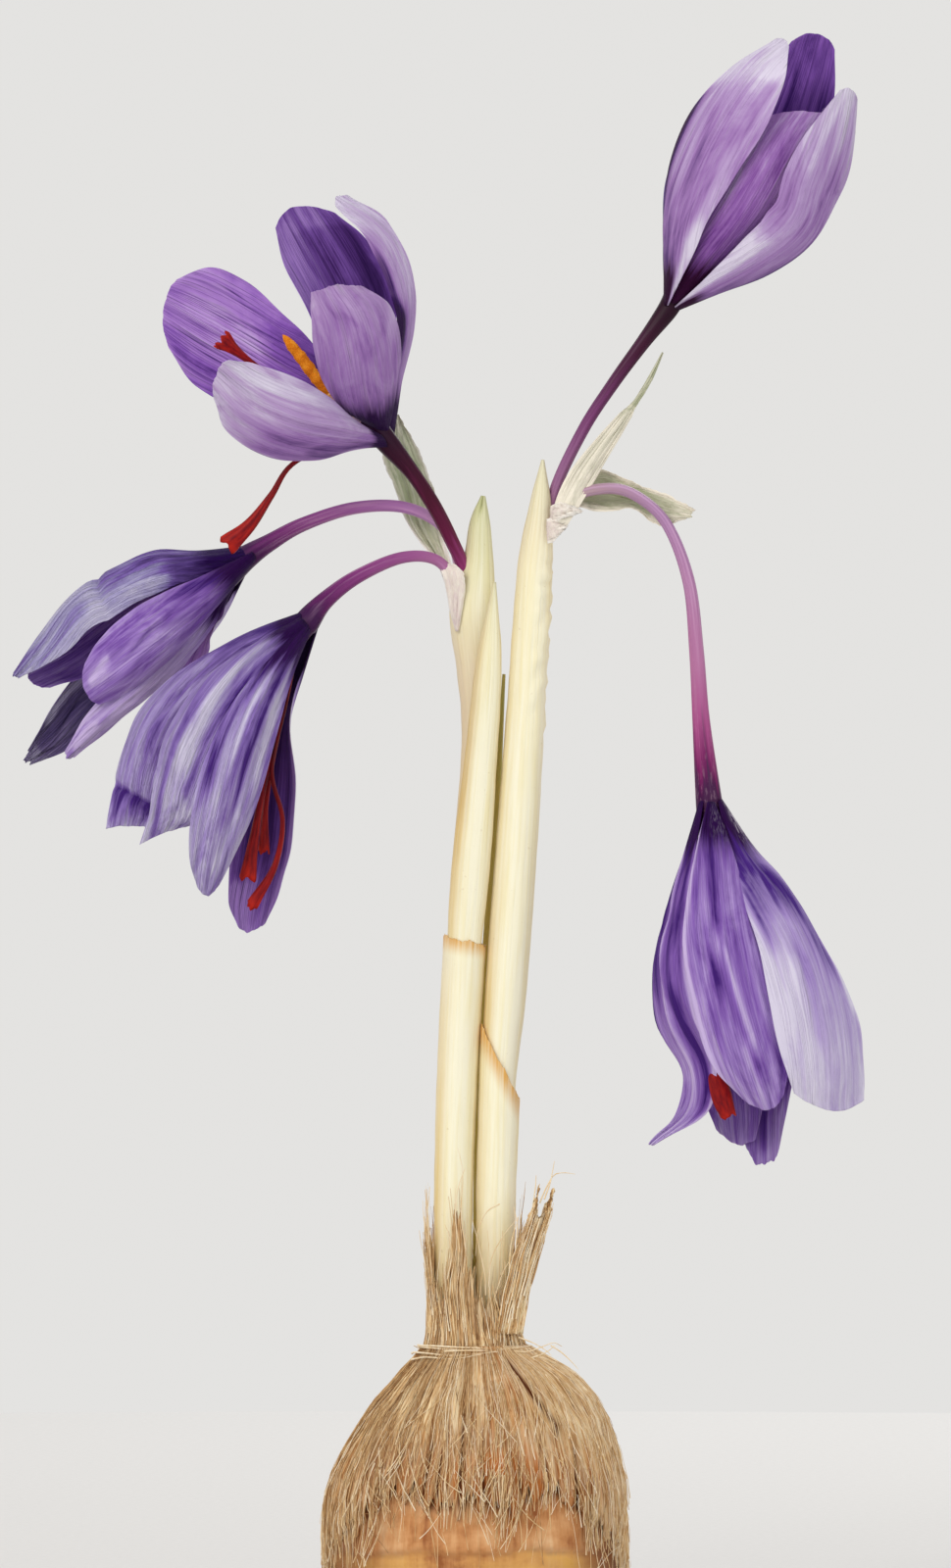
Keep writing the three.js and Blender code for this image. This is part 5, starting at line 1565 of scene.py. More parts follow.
@dataclass
class Tunic:
    """Fibrous coat: matted shell, neck, torn flap, bound strands and loose fibres."""

    left: Line = ((19.6, 8), (19.6, 14), (19.3, 20), (18.5, 23), (17, 25.8), (14.5, 30), (12.5, 32.6),
                  (10.4, 35), (8.6, 36.9), (7.2, 38.3), (6.5, 39.5))
    right: Line = ((19.6, 8), (19.6, 16), (19.3, 21.5), (18.6, 25), (17.2, 30), (15.4, 33), (13.2, 35.5),
                   (10.6, 37.2), (8.2, 38.4), (6.7, 39.6))
    top: float = 39.5  # height of its top, mm
    wall: float = 0.35  # thickness of its mat, mm
    bend: float = 6.0  # height below which loose fibres bend off above the floor, mm
    clearance: float = 1.0  # height that they stay above, mm
    guide: int = 12  # points of a guide line up it
    slits: Sequence[Slit] = (
        Slit((-2.1, 20.5), (-1.6, 30.3), 0.28), Slit((-5.2, 20.5), (-4.3, 26.5), 0.3),
        Slit((-7.2, 19.5), (-5.2, 29), 0.26), Slit((1.2, 20.5), (1.0, 24), 0.25),
        Slit((6.1, 20.5), (5.6, 25.2), 0.26), Slit((9.6, 20.5), (9.1, 25), 0.34),
        Slit((13.6, 17), (12.9, 27.5), 0.4), Slit((-12.8, 13.5), (-12.2, 18), 0.3),
        Slit((10.6, 29.5), (3.6, 38.6), 0.45))
    neck: Line = ((0, 0, 37.2, 7.3, 7.2), (-0.1, 0, 39.4, 6.3, 5.9), (-0.3, 0, 43, 5.8, 5.2),
                  (-0.3, 0, 47, 5.8, 4.6), (-0.3, 0, 52, 5.9, 4.0), (-0.2, 0, 62, 6.1, 3.4))
    neck_top: Pairs = (  # turn in degrees, height
        (-180, 53), (-165, 52.5), (-152, 47), (-140, 45.5), (-128, 46), (-121, 51), (-113, 57), (-106, 56),
        (-97, 50), (-86, 46), (-72, 44.5), (-55, 44), (-42, 46), (-28, 49), (-12, 51), (0, 52), (25, 51),
        (60, 49), (100, 51), (140, 49), (165, 52), (180, 53))
    winds: Line = WINDS
    loops: Sequence[Line] = LOOPS
    flap: Blade = FLAP
    flap_tips: Sequence[Line] = FLAP_TIPS
    hairs: Sequence[Line] = HAIRS
    fibres: int = 1850
    tufts: int = 16
    tuft_fibres: int = 9
    neck_fibres: int = 600
    flap_fibres: int = 70
    strays: int = 240
    chance: np.random.Generator = field(default_factory=lambda: np.random.default_rng(41))
    tree: StrandTree = field(default_factory=StrandTree)
    finish: Material = field(default_factory=DRY_FIBRE.material)

    @staticmethod
    def torn_edge(turn: Array) -> Array:
        """Height of the coat's torn edge, as in the CAD: high in front, low at the sides."""
        front = np.maximum(0, -np.sin(turn))
        return 9 + 11.5 * front**0.6 + 1.2 * np.sin(5 * turn) + 0.7 * np.sin(11 * turn)

    @staticmethod
    def teeth(turn: Array) -> Array:
        """Fine raggedness of a torn edge, mm."""
        return (0.9 * np.sin(31 * turn + 1) + 0.8 * np.sin(47 * turn + 2.2) + 0.6 * np.sin(83 * turn)
                + 0.5 * np.sin(131 * turn + 0.7))

    def radius(self, height: Array, turn: Array) -> Array:
        """Radius of the coat, which is fuller on the right."""
        left, right = (np.interp(height, [p[1] for p in side], [p[0] for p in side])
                       for side in (self.left, self.right))
        return left + (right - left) * (1 + np.cos(turn)) / 2

    def gap(self, turn: Array, height: Array) -> Array:
        """Finds the gaps between fibres, which are all in front.

        Args:
            turn: turns round the coat.
            height: heights, mm.

        Returns:
            Share of a gap at each place, 0..1.
        """
        x = self.radius(height, turn) * np.cos(turn)
        shown = sum((slit.share(x, height) for slit in self.slits), np.zeros_like(x))
        return np.where(np.sin(turn) < 0, np.clip(shown, 0, 1), 0.0)

    def build_coat(self) -> None:
        """Makes the matted shell with its ribs, gaps and torn teeth."""
        along, turn = rings(np.linspace(0, 1, 36) ** 0.9, 560)
        low = self.torn_edge(turn) + self.teeth(turn) * 0.9
        height = low + (self.top - low) * along
        ribs = 0.07 * np.cos(97 * turn + 2 * along) + 0.05 * np.cos(61 * turn + 3)
        ribs = (ribs + 0.11 * np.cos(23 * turn + 5 * along)) * ease(1 - along, 0.0, 0.4)
        gap = self.gap(turn, height)
        radius = self.radius(height, turn) - 0.1 + ribs - 0.34 * gap
        radius = radius - 0.25 * (1 - ease(along, 0.0, 0.12)) + 0.05 * self.teeth(turn) * (1 - along)
        walls = [around(radius - inset, turn, height) for inset in (0.0, self.wall)]
        front = np.clip(-np.sin(turn), 0, 1)
        thin = 0.9 * front * (1 - ease(height, 22.5, 31)) + 0.5 * bell(np.cos(turn), 0.25, 0.2) * front
        shape = Shape("gap", "thin")
        shape.shell(walls, girdle(turn, along), gap=gap, thin=thin)
        keep(shape.mesh("coat_mat", fibre_mat("corm_coat_fibre_mat", 24.0).material()), Slot.FIBRE, "tunic")

    def neck_point(self, height: Array, turn: Array, swell: Array | float) -> Array:
        """Places points on the neck.

        Args:
            height: their heights, mm.
            turn: their turns.
            swell: how far they stand off it, mm.

        Returns:
            The points, mm.
        """
        at = np.interp(height, [s[2] for s in self.neck], np.linspace(0, 1, len(self.neck)))
        points = sweep(self.neck)(at, turn, swell)
        points[..., 2] = height
        return points

    def build_neck(self) -> None:
        """Makes the neck's shell with its high and low strands."""
        along, turn = rings(np.linspace(0, 1, 30), 260)
        degrees = np.degrees(np.mod(turn + math.pi, TURN) - math.pi)
        top = table(self.neck_top, degrees) + 0.8 * self.teeth(turn) * ease(along, 0.4, 1.0)
        height = NECK_FOOT + (top - NECK_FOOT) * along
        ribs = 0.09 * np.cos(41 * turn + 2 * along) + 0.08 * np.cos(27 * turn - along)
        ribs = ribs + 0.05 * np.cos(73 * turn)
        walls = [self.neck_point(height, turn, ribs - inset * (1 - 0.6 * along)) for inset in (0.0, 0.4)]
        # Painted shade in the grooves between the neck's ribs.
        dark = 0.55 * ease(-np.cos(41 * turn + 2 * along), 0.7, 1.0)
        shape = Shape("gap")
        shape.shell(walls, girdle(turn, along), gap=dark)
        keep(shape.mesh("neck_mat", fibre_mat("neck_fibre_mat", 7.5).material()), Slot.FIBRE, "tunic_neck")

    def coat_line(self, turn: float, low: float, high: float, lift: float, drift: float) -> Array:
        """Guide line up the coat.

        Args:
            turn: its turn at the middle.
            low: share of the way up where it starts; under 0 hangs past the torn edge.
            high: share where it ends.
            lift: how far it stands off the coat, mm.
            drift: how far it leans round the coat, radians.

        Returns:
            Its points, mm.
        """
        share = np.linspace(low, high, self.guide)
        turns = turn + drift * (share - (low + high) / 2)
        edge = self.torn_edge(turns)
        height = edge + (self.top - edge) * share
        reach = self.bend - self.clearance
        bent = self.clearance + reach * np.exp((height - self.bend) / reach)
        height = np.where(height < self.bend, bent, height)
        foot = bell(np.linspace(0, 1, self.guide), 0.0, 0.2)
        radius = self.radius(height, turns) + lift * (1 + 0.5 * foot)
        radius = np.where(share < 0, radius - 0.25, radius)
        return around(radius, turns, height)

    def build_fibres(self) -> None:
        """Makes the fibres that lie on the coat and hang past its torn edge."""
        draw, strands = self.chance, Strands()
        for _ in range(self.fibres):
            turn = draw.uniform(-math.pi, math.pi)
            start = draw.uniform(0.0, 0.75) if draw.random() < 0.6 else draw.uniform(-0.16, 0.02)
            start -= draw.uniform(0.1, 0.4) * (draw.random() < 0.09)
            end = min(start + draw.uniform(0.2, 0.85), 0.99)
            lean = draw.normal(0, 0.1) if draw.random() < 0.75 else draw.normal(0, 0.45)
            line = self.coat_line(turn, start, end, draw.uniform(0.0, 0.35), lean)
            girth, tone = draw.uniform(0.03, 0.08), draw.normal(0.5 + 0.15 * math.cos(turn), 0.24)
            if self.gap(np.array(turn), line[self.guide // 2, 2]) < 0.35:
                strands.add(line, girth, tone, 0.6, 0.6)
        for _ in range(self.tufts):
            turn, low = draw.uniform(-math.pi, 0.15), draw.uniform(-0.34, -0.06)
            lean, spread = draw.normal(0, 0.12), draw.uniform(0.015, 0.05)
            for _ in range(self.tuft_fibres):
                end, off = draw.uniform(0.02, 0.3), draw.normal(0, 1.0) * spread
                start, lift = low * draw.uniform(0.75, 1.0), draw.uniform(0.05, 0.4)
                line = self.coat_line(turn + off, start, end, lift, lean + 2 * off)
                strands.add(line, draw.uniform(0.05, 0.1), draw.normal(0.6, 0.22), 0.35, 1.0)
        strands.grow(self.tree, "coat_fibres", self.finish, Sides=4, Wander=0.9 * MM, Wave=200.0, Seed=2.0)

    def build_neck_fibres(self) -> None:
        """Makes the fibres that run up the neck and end in loose tips."""
        draw, strands = self.chance, Strands()
        for _ in range(self.neck_fibres):
            degrees = draw.uniform(-180, 180)
            low = draw.uniform(36.9, 44)
            high = min(table(self.neck_top, degrees) + draw.normal(1.0, 3.0), 61.5)
            height = np.linspace(low, max(high, low + 4), 9)
            turn = math.radians(degrees) + draw.normal(0, 0.05) * np.linspace(-1, 1, 9)
            turn = turn + 0.04 * np.sin(height * 0.5)
            flare = draw.uniform(0.0, 0.5) * ease(height, high - 5, high) + draw.uniform(0.02, 0.25)
            line = self.neck_point(height, turn, flare)
            strands.add(line, draw.uniform(0.04, 0.11), draw.normal(0.55, 0.24))
        strands.grow(self.tree, "neck_fibres", self.finish, Sides=4, Wander=0.7 * MM, Wave=210.0, Seed=5.0)

    def build_binding(self) -> None:
        """Makes the strands wound round the foot of the neck, with a loose loop at the right."""
        strands = Strands()
        t = np.linspace(0, 1, 24)
        for start, end, low, high, radius, girth in self.winds:
            turn = np.radians(start + (end - start) * t)
            out = radius + 0.18 * np.sin(9 * t) + 0.5 * (1 - ease(t, 0.0, 0.12)) + 0.5 * ease(t, 0.9, 1.0)
            height = low + (high - low) * t + 0.2 * np.sin(7 * t)
            line = np.stack([out * np.cos(turn), out * 0.96 * np.sin(turn), height], axis=-1)
            strands.add(line, girth, 0.85)
        for loop in self.loops:
            strands.add(spline(loop, np.linspace(0, 1, 14)), 0.11, 0.8)
        strands.grow(self.tree, "neck_binding_strands", self.finish, ("neck_binding",), Sides=6,
                     Wander=0.15 * MM, Wave=200.0, Seed=8.0)

    @staticmethod
    def flap_marks(u: Array, v: Array, is_outer: bool) -> dict[str, Array]:
        """Mark of both faces of the flap: painted shade along the gap between its fibres."""
        return {"gap": 0.5 * bell(u, 0.55, 0.08) * ease(v, 0.3, 0.6)}

    def build_flap(self) -> None:
        """Makes the torn flap that stands off at the right of the neck, with its strands."""
        outside, seed = np.array([1, -0.5, 0]), 77
        shape = Shape("gap")
        self.flap.build(shape, outside, seed, self.flap_marks)
        mat = fibre_mat("flap_fibre_mat", 9.0).material()
        keep(shape.mesh("torn_flap", mat, mat), Slot.FIBRE, "tunic_flap")
        points, normal = self.flap.surface(np.linspace(-1, 1, 41), np.linspace(0, 1, 41), outside, seed)
        draw, strands = self.chance, Strands()
        for _ in range(self.flap_fibres):
            column = int(draw.integers(1, 40))
            rows = slice(int(draw.integers(0, 14)), int(draw.integers(26, 41)), 2)
            side = 1 if draw.random() < 0.75 else -1
            line = points[rows, column] + side * normal[rows, column] * draw.uniform(0.15, 0.45)
            strands.add(line, draw.uniform(0.06, 0.12), draw.normal(0.75, 0.2))
        for tip in self.flap_tips:
            strands.add(spline(tip, np.linspace(0, 1, 10)), 0.11, 0.75)
        strands.grow(self.tree, "flap_strands", self.finish, Sides=5, Wander=0.3 * MM, Wave=260.0, Seed=11.0)

    def build_strays(self) -> None:
        """Makes the loose fibres: the long tips and hairs, and crossing ones on the coat."""
        draw, strands = self.chance, Strands()
        for hair in self.hairs:
            strands.add(spline(hair, np.linspace(0, 1, 14)), 0.085, 0.75)
        for _ in range(self.strays):
            turn, low = draw.uniform(-math.pi, 0.6), draw.uniform(-0.35, 0.5)
            high = low + draw.uniform(0.1, 0.35)
            line = self.coat_line(turn, low, high, draw.uniform(0.25, 0.6), draw.normal(0, 0.5))
            strands.add(line, draw.uniform(0.04, 0.08), draw.uniform(0.4, 1.0), 1.0, 0.4)
        strands.grow(self.tree, "stray_fibres", self.finish, Sides=4, Wander=1.3 * MM, Wave=130.0, Seed=21.0)

    def build(self) -> None:
        """Makes every piece of the coat."""
        self.build_coat()
        self.build_neck()
        self.build_fibres()
        self.build_neck_fibres()
        self.build_binding()
        self.build_flap()
        self.build_strays()
# ---------- The five flowers ----------


# Open flower at the upper left, its mouth towards the upper left.
OPEN_TEPALS = (
    Tepal("outer_1", Blade(
        ((-11.5, -2.4, 156.6), (-15.5, -6, 156.2), (-20.8, -11, 154.6), (-26.9, -16, 155),
        (-31.8, -20.5, 157.9), (-33.7, -24, 162.2)),
        ((-12.4, -3.2, 158.2), (-15.6, -7, 159.9), (-19, -11.5, 162.9), (-23.4, -17, 165.2),
        (-28, -22, 166.6), (-31.6, -25.5, 167.2)),
        (0.2, 1.5, 2.8, 3.2, 1.8, 0), cap=1.3, ribs=0.04),
        SMOOTH, VIOLET, ((0, -0.5), (0.2, 0), (0.5, 0.2), (1, 0.45)), flush=0.08,
        streaks=((0.2, 0.15, 0.25, 0.7, 0.14, -0.6), (0.8, 0.1, 0.8, 0.9, 0.2, 0.4),
        (0.05, 0.3, 0.05, 0.7, 0.08, -0.4))),
    Tepal("inner_1", Blade(
        ((-13.2, -2.8, 159.2), (-16.9, -7, 161.1), (-19.6, -11, 164.5), (-20.9, -14.5, 169),
        (-21.2, -17.5, 173.2), (-21.2, -19, 176)),
        ((-11.4, -1.9, 158.6), (-10.6, -4.5, 162), (-9.9, -8, 167), (-9.9, -11.5, 171.3), (-11.4, -15, 175),
        (-14.6, -18, 177)),
        (0.2, 1.6, 2.8, 3, 2, 0), cap=0.7, ribs=0.035),
        SMOOTH, VIOLET, ((0, -0.8), (0.25, -0.35), (0.5, -0.05), (0.75, 0.05), (1, 0.2)), flush=0.16,
        veining=(0.3, 0.9)),
    Tepal("outer_2", Blade(
        ((-12, -1.6, 159), (-11.6, -2.6, 165.5), (-10.4, -2.6, 171.5), (-11.4, -2.2, 177.4),
        (-14, -1.4, 183.4), (-18.2, 0.4, 188)),
        ((-10.6, 0.2, 158.4), (-9.6, 3.4, 165.6), (-8.2, 6, 173), (-8.3, 7, 179.8), (-11.2, 6.4, 186),
        (-16.8, 3.6, 189.6)),
        (0.1, 0.5, 0.8, 1, 0.8, 0.1), cap=0.9),
        SMOOTH, DUSKY_SHADED, ((0, -0.4), (0.3, 0.2), (0.8, 0.4), (1, 0.65)), flush=0.1,
        # its dark strokes along the first margin are painted shade, for the shadowed gap beside it
        streaks=((0, 0.02, 0, 0.5, 0.36, -1.5), (0, 0.02, 0, 0.8, 0.16, -1.1))),
    Tepal("inner_2", Blade(
        ((-13.4, -0.6, 160.4), (-18.5, 2, 167), (-24, 4, 173), (-29.8, 6, 178.4), (-35, 7, 180.3),
        (-39.2, 6.8, 178.9)),
        ((-13.4, -1.6, 159.4), (-19, -3, 160.5), (-25, -3.6, 161), (-31, -2.6, 161.8), (-36.6, 0, 164.7),
        (-40.2, 3.4, 169.8)),
        (0.2, 1.5, 3, 3.4, 2.2, 0.3), cap=1.5, ribs=0.03),
        MAUVE, VIOLET, ((0, -0.7), (0.3, -0.45), (0.6, 0.05), (1, 0.35)), veining=(0.2, 1),
        streaks=((0.35, 0.5, 0.4, 0.9, 0.2, 0.35), (0.95, 0.5, 0.8, 1, 0.2, -0.45))),
    Tepal("outer_3", Blade(
        ((-12.8, 0.2, 160.4), (-16.5, 4, 166), (-20.3, 8, 171.5), (-22.6, 11, 176), (-25.2, 13.4, 181),
        (-26.4, 14.6, 186)),
        ((-11.8, 0.8, 160.4), (-11.2, 4.6, 166.5), (-10.4, 8, 172.5), (-11, 11.5, 178.4),
        (-14.3, 13.8, 184.2), (-18.4, 14.6, 187.8)),
        (0.2, 1.2, 2.4, 2.8, 1.6, 0.2), cap=2.3),
        MAUVE, DUSKY_SHADED, ((0, -0.5), (0.5, -0.1), (1, 0.25)), streaks=((0.15, 0.5, 0.15, 1, 0.2, 0.6),
        (0.75, 0.35, 0.85, 0.95, 0.12, -0.6), (0.5, 0.4, 0.5, 0.9, 0.08, -0.3),
        (0.6, 0.9, 0.8, 1.1, 0.3, 0.4))),
    Tepal("inner_3", Blade(
        ((-12.3, 1.8, 160.6), (-16.2, 9.5, 167.5), (-19.6, 14.8, 175), (-21.6, 18.4, 181), (-20, 20.3, 185)),
        ((-11.2, 1.7, 160.4), (-10.7, 8.6, 167), (-10.7, 14, 174), (-12.9, 17.6, 180.5), (-16.4, 20.2, 185)),
        (0.2, 1.2, 2, 1.6, 0)),
        MAUVE, DUSKY_SHADED))
OPEN = Flower(
    number=1,
    tube=((-0.8, 1.8, 134, 0.7), (-1.5, 1.3, 140.4, 0.8), (-3.2, 0, 144.6, 0.9), (-5.4, -0.4, 148.9, 0.95),
        (-8.2, -0.7, 153.2, 1), (-11.6, -1, 157.3, 1.5)),
    tube_finish=tube_tissue("floral_tube_maroon", ((0, "b87a9a"), (0.14, "9c3f7c"), (0.3, "5c1238"),
        (0.45, "430624"), (0.7, "2c0422"), (1, "240630")), "7a2250", 0.3),
    axis=((-11.8, -1, 157.5), (-32, -7, 184)),
    stigmas=(
        Stigma(((-12.6, -1.2, 158.9, 0.35), (-20, -3.5, 162.6, 0.3), (-27.3, -6, 166.3, 0.32),
        (-30.8, -7, 168.7, 0.6, 0.5), (-33, -7.5, 170.4, 1.35, 0.55)), lip=1.2, lobes=7),
        Stigma(((-12.6, -1.2, 158.9, 0.35), (-18, -4.4, 157.2, 0.32), (-23.8, -7.6, 154.2, 0.32),
        (-26.5, -8, 150.2, 0.45), (-29.3, -8, 146.3, 0.85, 0.5), (-32.3, -8, 143.6, 1.4, 0.7)), lip=0.5,
        lobes=4),
        Stigma(((-12.6, -1.2, 158.9, 0.35), (-14, -1.5, 164, 0.35), (-17.5, -2, 170, 0.8)))),
    stamens=(
        ((-12.6, 0.4, 159.6, 0.4), (-16.5, -0.8, 161.6, 0.4), (-19.8, -2, 164.4, 0.85),
         (-22.4, -2.5, 167.8, 0.95), (-25.1, -3, 171.2, 0.7)),
        ((-12.6, 0.4, 159.6, 0.35), (-13.2, 1.8, 164, 0.75), (-14, 2.8, 169, 0.8), (-15, 3.6, 173, 0.4)),
        ((-12.6, 0.4, 159.6, 0.35), (-16.5, -4.5, 160.2, 0.35), (-20, -7.6, 160.8, 0.75),
         (-25.5, -10, 162.6, 0.4))),
    tepals=OPEN_TEPALS)

# Drooping flower at the far left, closed and drying at its tips.
DROOPING_TEPALS = (
    Tepal("outer_1", Blade(
        ((-29.2, 2.4, 143), (-35.6, -2, 139.8), (-41, -5, 137.4), (-45.5, -6.6, 134.6), (-48.8, -7, 131.6),
        (-50.9, -6.6, 128.2)),
        ((-28.8, 2.8, 141.9), (-33.6, -0.6, 136), (-38, -3.4, 130.8), (-42, -4.8, 127), (-45.4, -5.2, 124.4),
        (-48.8, -5.6, 123)),
        (0.2, 1.6, 2.6, 2.8, 2, 0.6), cap=1.3, ribs=0.03, crumple=0.4),
        MAUVE, VIOLET, ((0, -0.7), (0.3, -0.15), (0.6, 0.1), (0.85, 0.2), (1, 0.1)), flush=0.12,
        veining=(0.35, 0.8), lobe_tone=0.45, streaks=((0.5, 0.2, 0.6, 0.9, 0.16, 0.25),
        (0.3, 0.8, 0.4, 0.95, 0.1, 0.7), (0.15, 0.1, 0.1, 0.7, 0.1, -0.3)), lobe=Blade(
        ((-33, 2, 139), (-39, -1.5, 133), (-45, -3.6, 128), (-49.9, -4, 122.6), (-53.5, -2, 117)),
        ((-31.4, 3, 138.6), (-35.2, 1.5, 132), (-40.2, -0.5, 126), (-46.4, -2.2, 121), (-52.4, -1.8, 116)),
        (0.2, 1.6, 2.4, 1.6, 0.2), cap=0.5, ragged=0.15, crumple=0.45)),
    Tepal("inner_1", Blade(
        ((-29.4, 4.2, 143.9), (-36.5, 4.6, 143.1), (-42, 5, 143.1), (-47.5, 5.2, 141), (-52.3, 5, 137.8),
        (-56.8, 3.6, 132.6), (-60.3, 1.2, 127.4)),
        ((-29.4, 2.6, 142.6), (-36, 0.4, 139.8), (-41, -2, 138), (-46, -3.4, 135), (-50.6, -3.6, 132.6),
        (-54.6, -2, 128.8), (-59.4, 1, 126.6)),
        (0.2, 1.2, 1.8, 2, 1.8, 1.2, 0.1), (Fold(0.3, 0.565, 0.6, 0.02, -0.7),), cap=0.5, ragged=0.12,
        crumple=0.35),
        FROSTED_HIGHLIT, DUSKY_SHADED, ((0, -0.8), (0.25, -0.45), (0.54, -0.3), (0.6, 0.35), (1, 0.5)), veining=(0.5, 0.8),
        flush=0.1, streaks=((0.9, 0.3, 0.8, 0.62, 0.28, 0.8),)),
    Tepal("inner_2", Blade(
        ((-31.8, 5.2, 142.2), (-40, 9, 140), (-48, 8.6, 136), (-54.5, 5.6, 131), (-58.6, 3, 127.4)),
        ((-31.8, 5.2, 141.2), (-38.5, 8.6, 136), (-44.6, 8, 131), (-50.4, 4.6, 126.9), (-55.6, 2.6, 125.3)),
        (0.2, 1, 1.2, 0.9, 0.3), cap=0.9, crumple=0.25),
        MAUVE, MAUVE, ((0, -0.5), (0.6, -0.25), (1, 0.1)), veining=(1, 1)),
    Tepal("outer_2", Blade(
        ((-31.4, 5.6, 141.2), (-39.5, 8, 135), (-46, 7.6, 130.6), (-52, 5, 127), (-55.8, 3, 122),
        (-58.2, 2, 117.4)),
        ((-31, 5.6, 140.4), (-37, 8, 133), (-43, 8.4, 126), (-48.5, 7, 121), (-53.6, 4, 117),
        (-58, 2.2, 115.3)),
        (0.2, 1, 1.6, 1.4, 0.8, 0.2), cap=0.9, ragged=0.3, crumple=0.4),
        DRY, DRY, ((0, -0.4), (1, 0.2)), veining=(0.9, 0.9), streaks=((0.15, 0.55, 0.1, 0.85, 0.12, 0.9),
        (0.5, 0.9, 0.6, 1, 0.3, 0.5))),
    Tepal("inner_3", Blade(
        ((-30.6, 5.4, 140.2), (-35, 9, 135), (-38.5, 10, 130.5), (-40, 10, 127.8)),
        ((-30.4, 4.6, 139.8), (-32.4, 6, 136.4), (-34.3, 7.5, 132.8), (-35.2, 8.4, 129.3)),
        (0.2, 1, 1, 0.2), cap=0.9),
        LILAC, VIOLET, ((0, -0.5), (0.5, 0.1), (1, 0.4))),
    Tepal("outer_3", Blade(
        ((-31.6, 6, 142.6), (-38.5, 10.4, 141.4), (-45.5, 13.4, 139.4), (-51, 13.8, 135.4),
        (-54.6, 12.6, 131.6)),
        ((-31.6, 6.4, 141.6), (-37.5, 12.6, 138.6), (-44, 16, 135), (-50, 15.8, 131.6), (-54, 12.8, 130.4)),
        (0.2, 1.4, 2, 1.2, 0.2)),
        MAUVE, DUSKY_SHADED))
DROOPING = Flower(
    number=2,
    tube=((-1.8, 2, 138, 0.6), (-2.8, 2, 143.6, 0.65), (-5, 2, 146.9, 0.7), (-9.7, 2.5, 148.9, 0.75),
        (-16.1, 3, 148.7, 0.8), (-22.6, 3.5, 146.6, 0.9), (-27, 3.8, 144.2, 1.15), (-30, 4, 142.3, 1.6)),
    tube_finish=tube_tissue("floral_tube_mauve", ((0, "c4aeb4"), (0.12, "bfa0bc"), (0.33, "a870ac"),
        (0.5, "8c4a8a"), (0.6, "702a6c"), (0.7, "4c1450"), (0.78, "340a40"), (1, "2a0634")), strength=0.4),
    axis=((-30, 4, 142.3), (-52, 5, 122)),
    stigmas=[Stigma(stations) for stations in fan((-31.8, 4.2, 140.8), (-46, 5, 128.5), 1.4, STIGMA_RADII)],
    stamens=fan((-32, 5.8, 140.4), (-43, 6.4, 131), 1.6, STAMEN_RADII, 1),
    tepals=DROOPING_TEPALS)

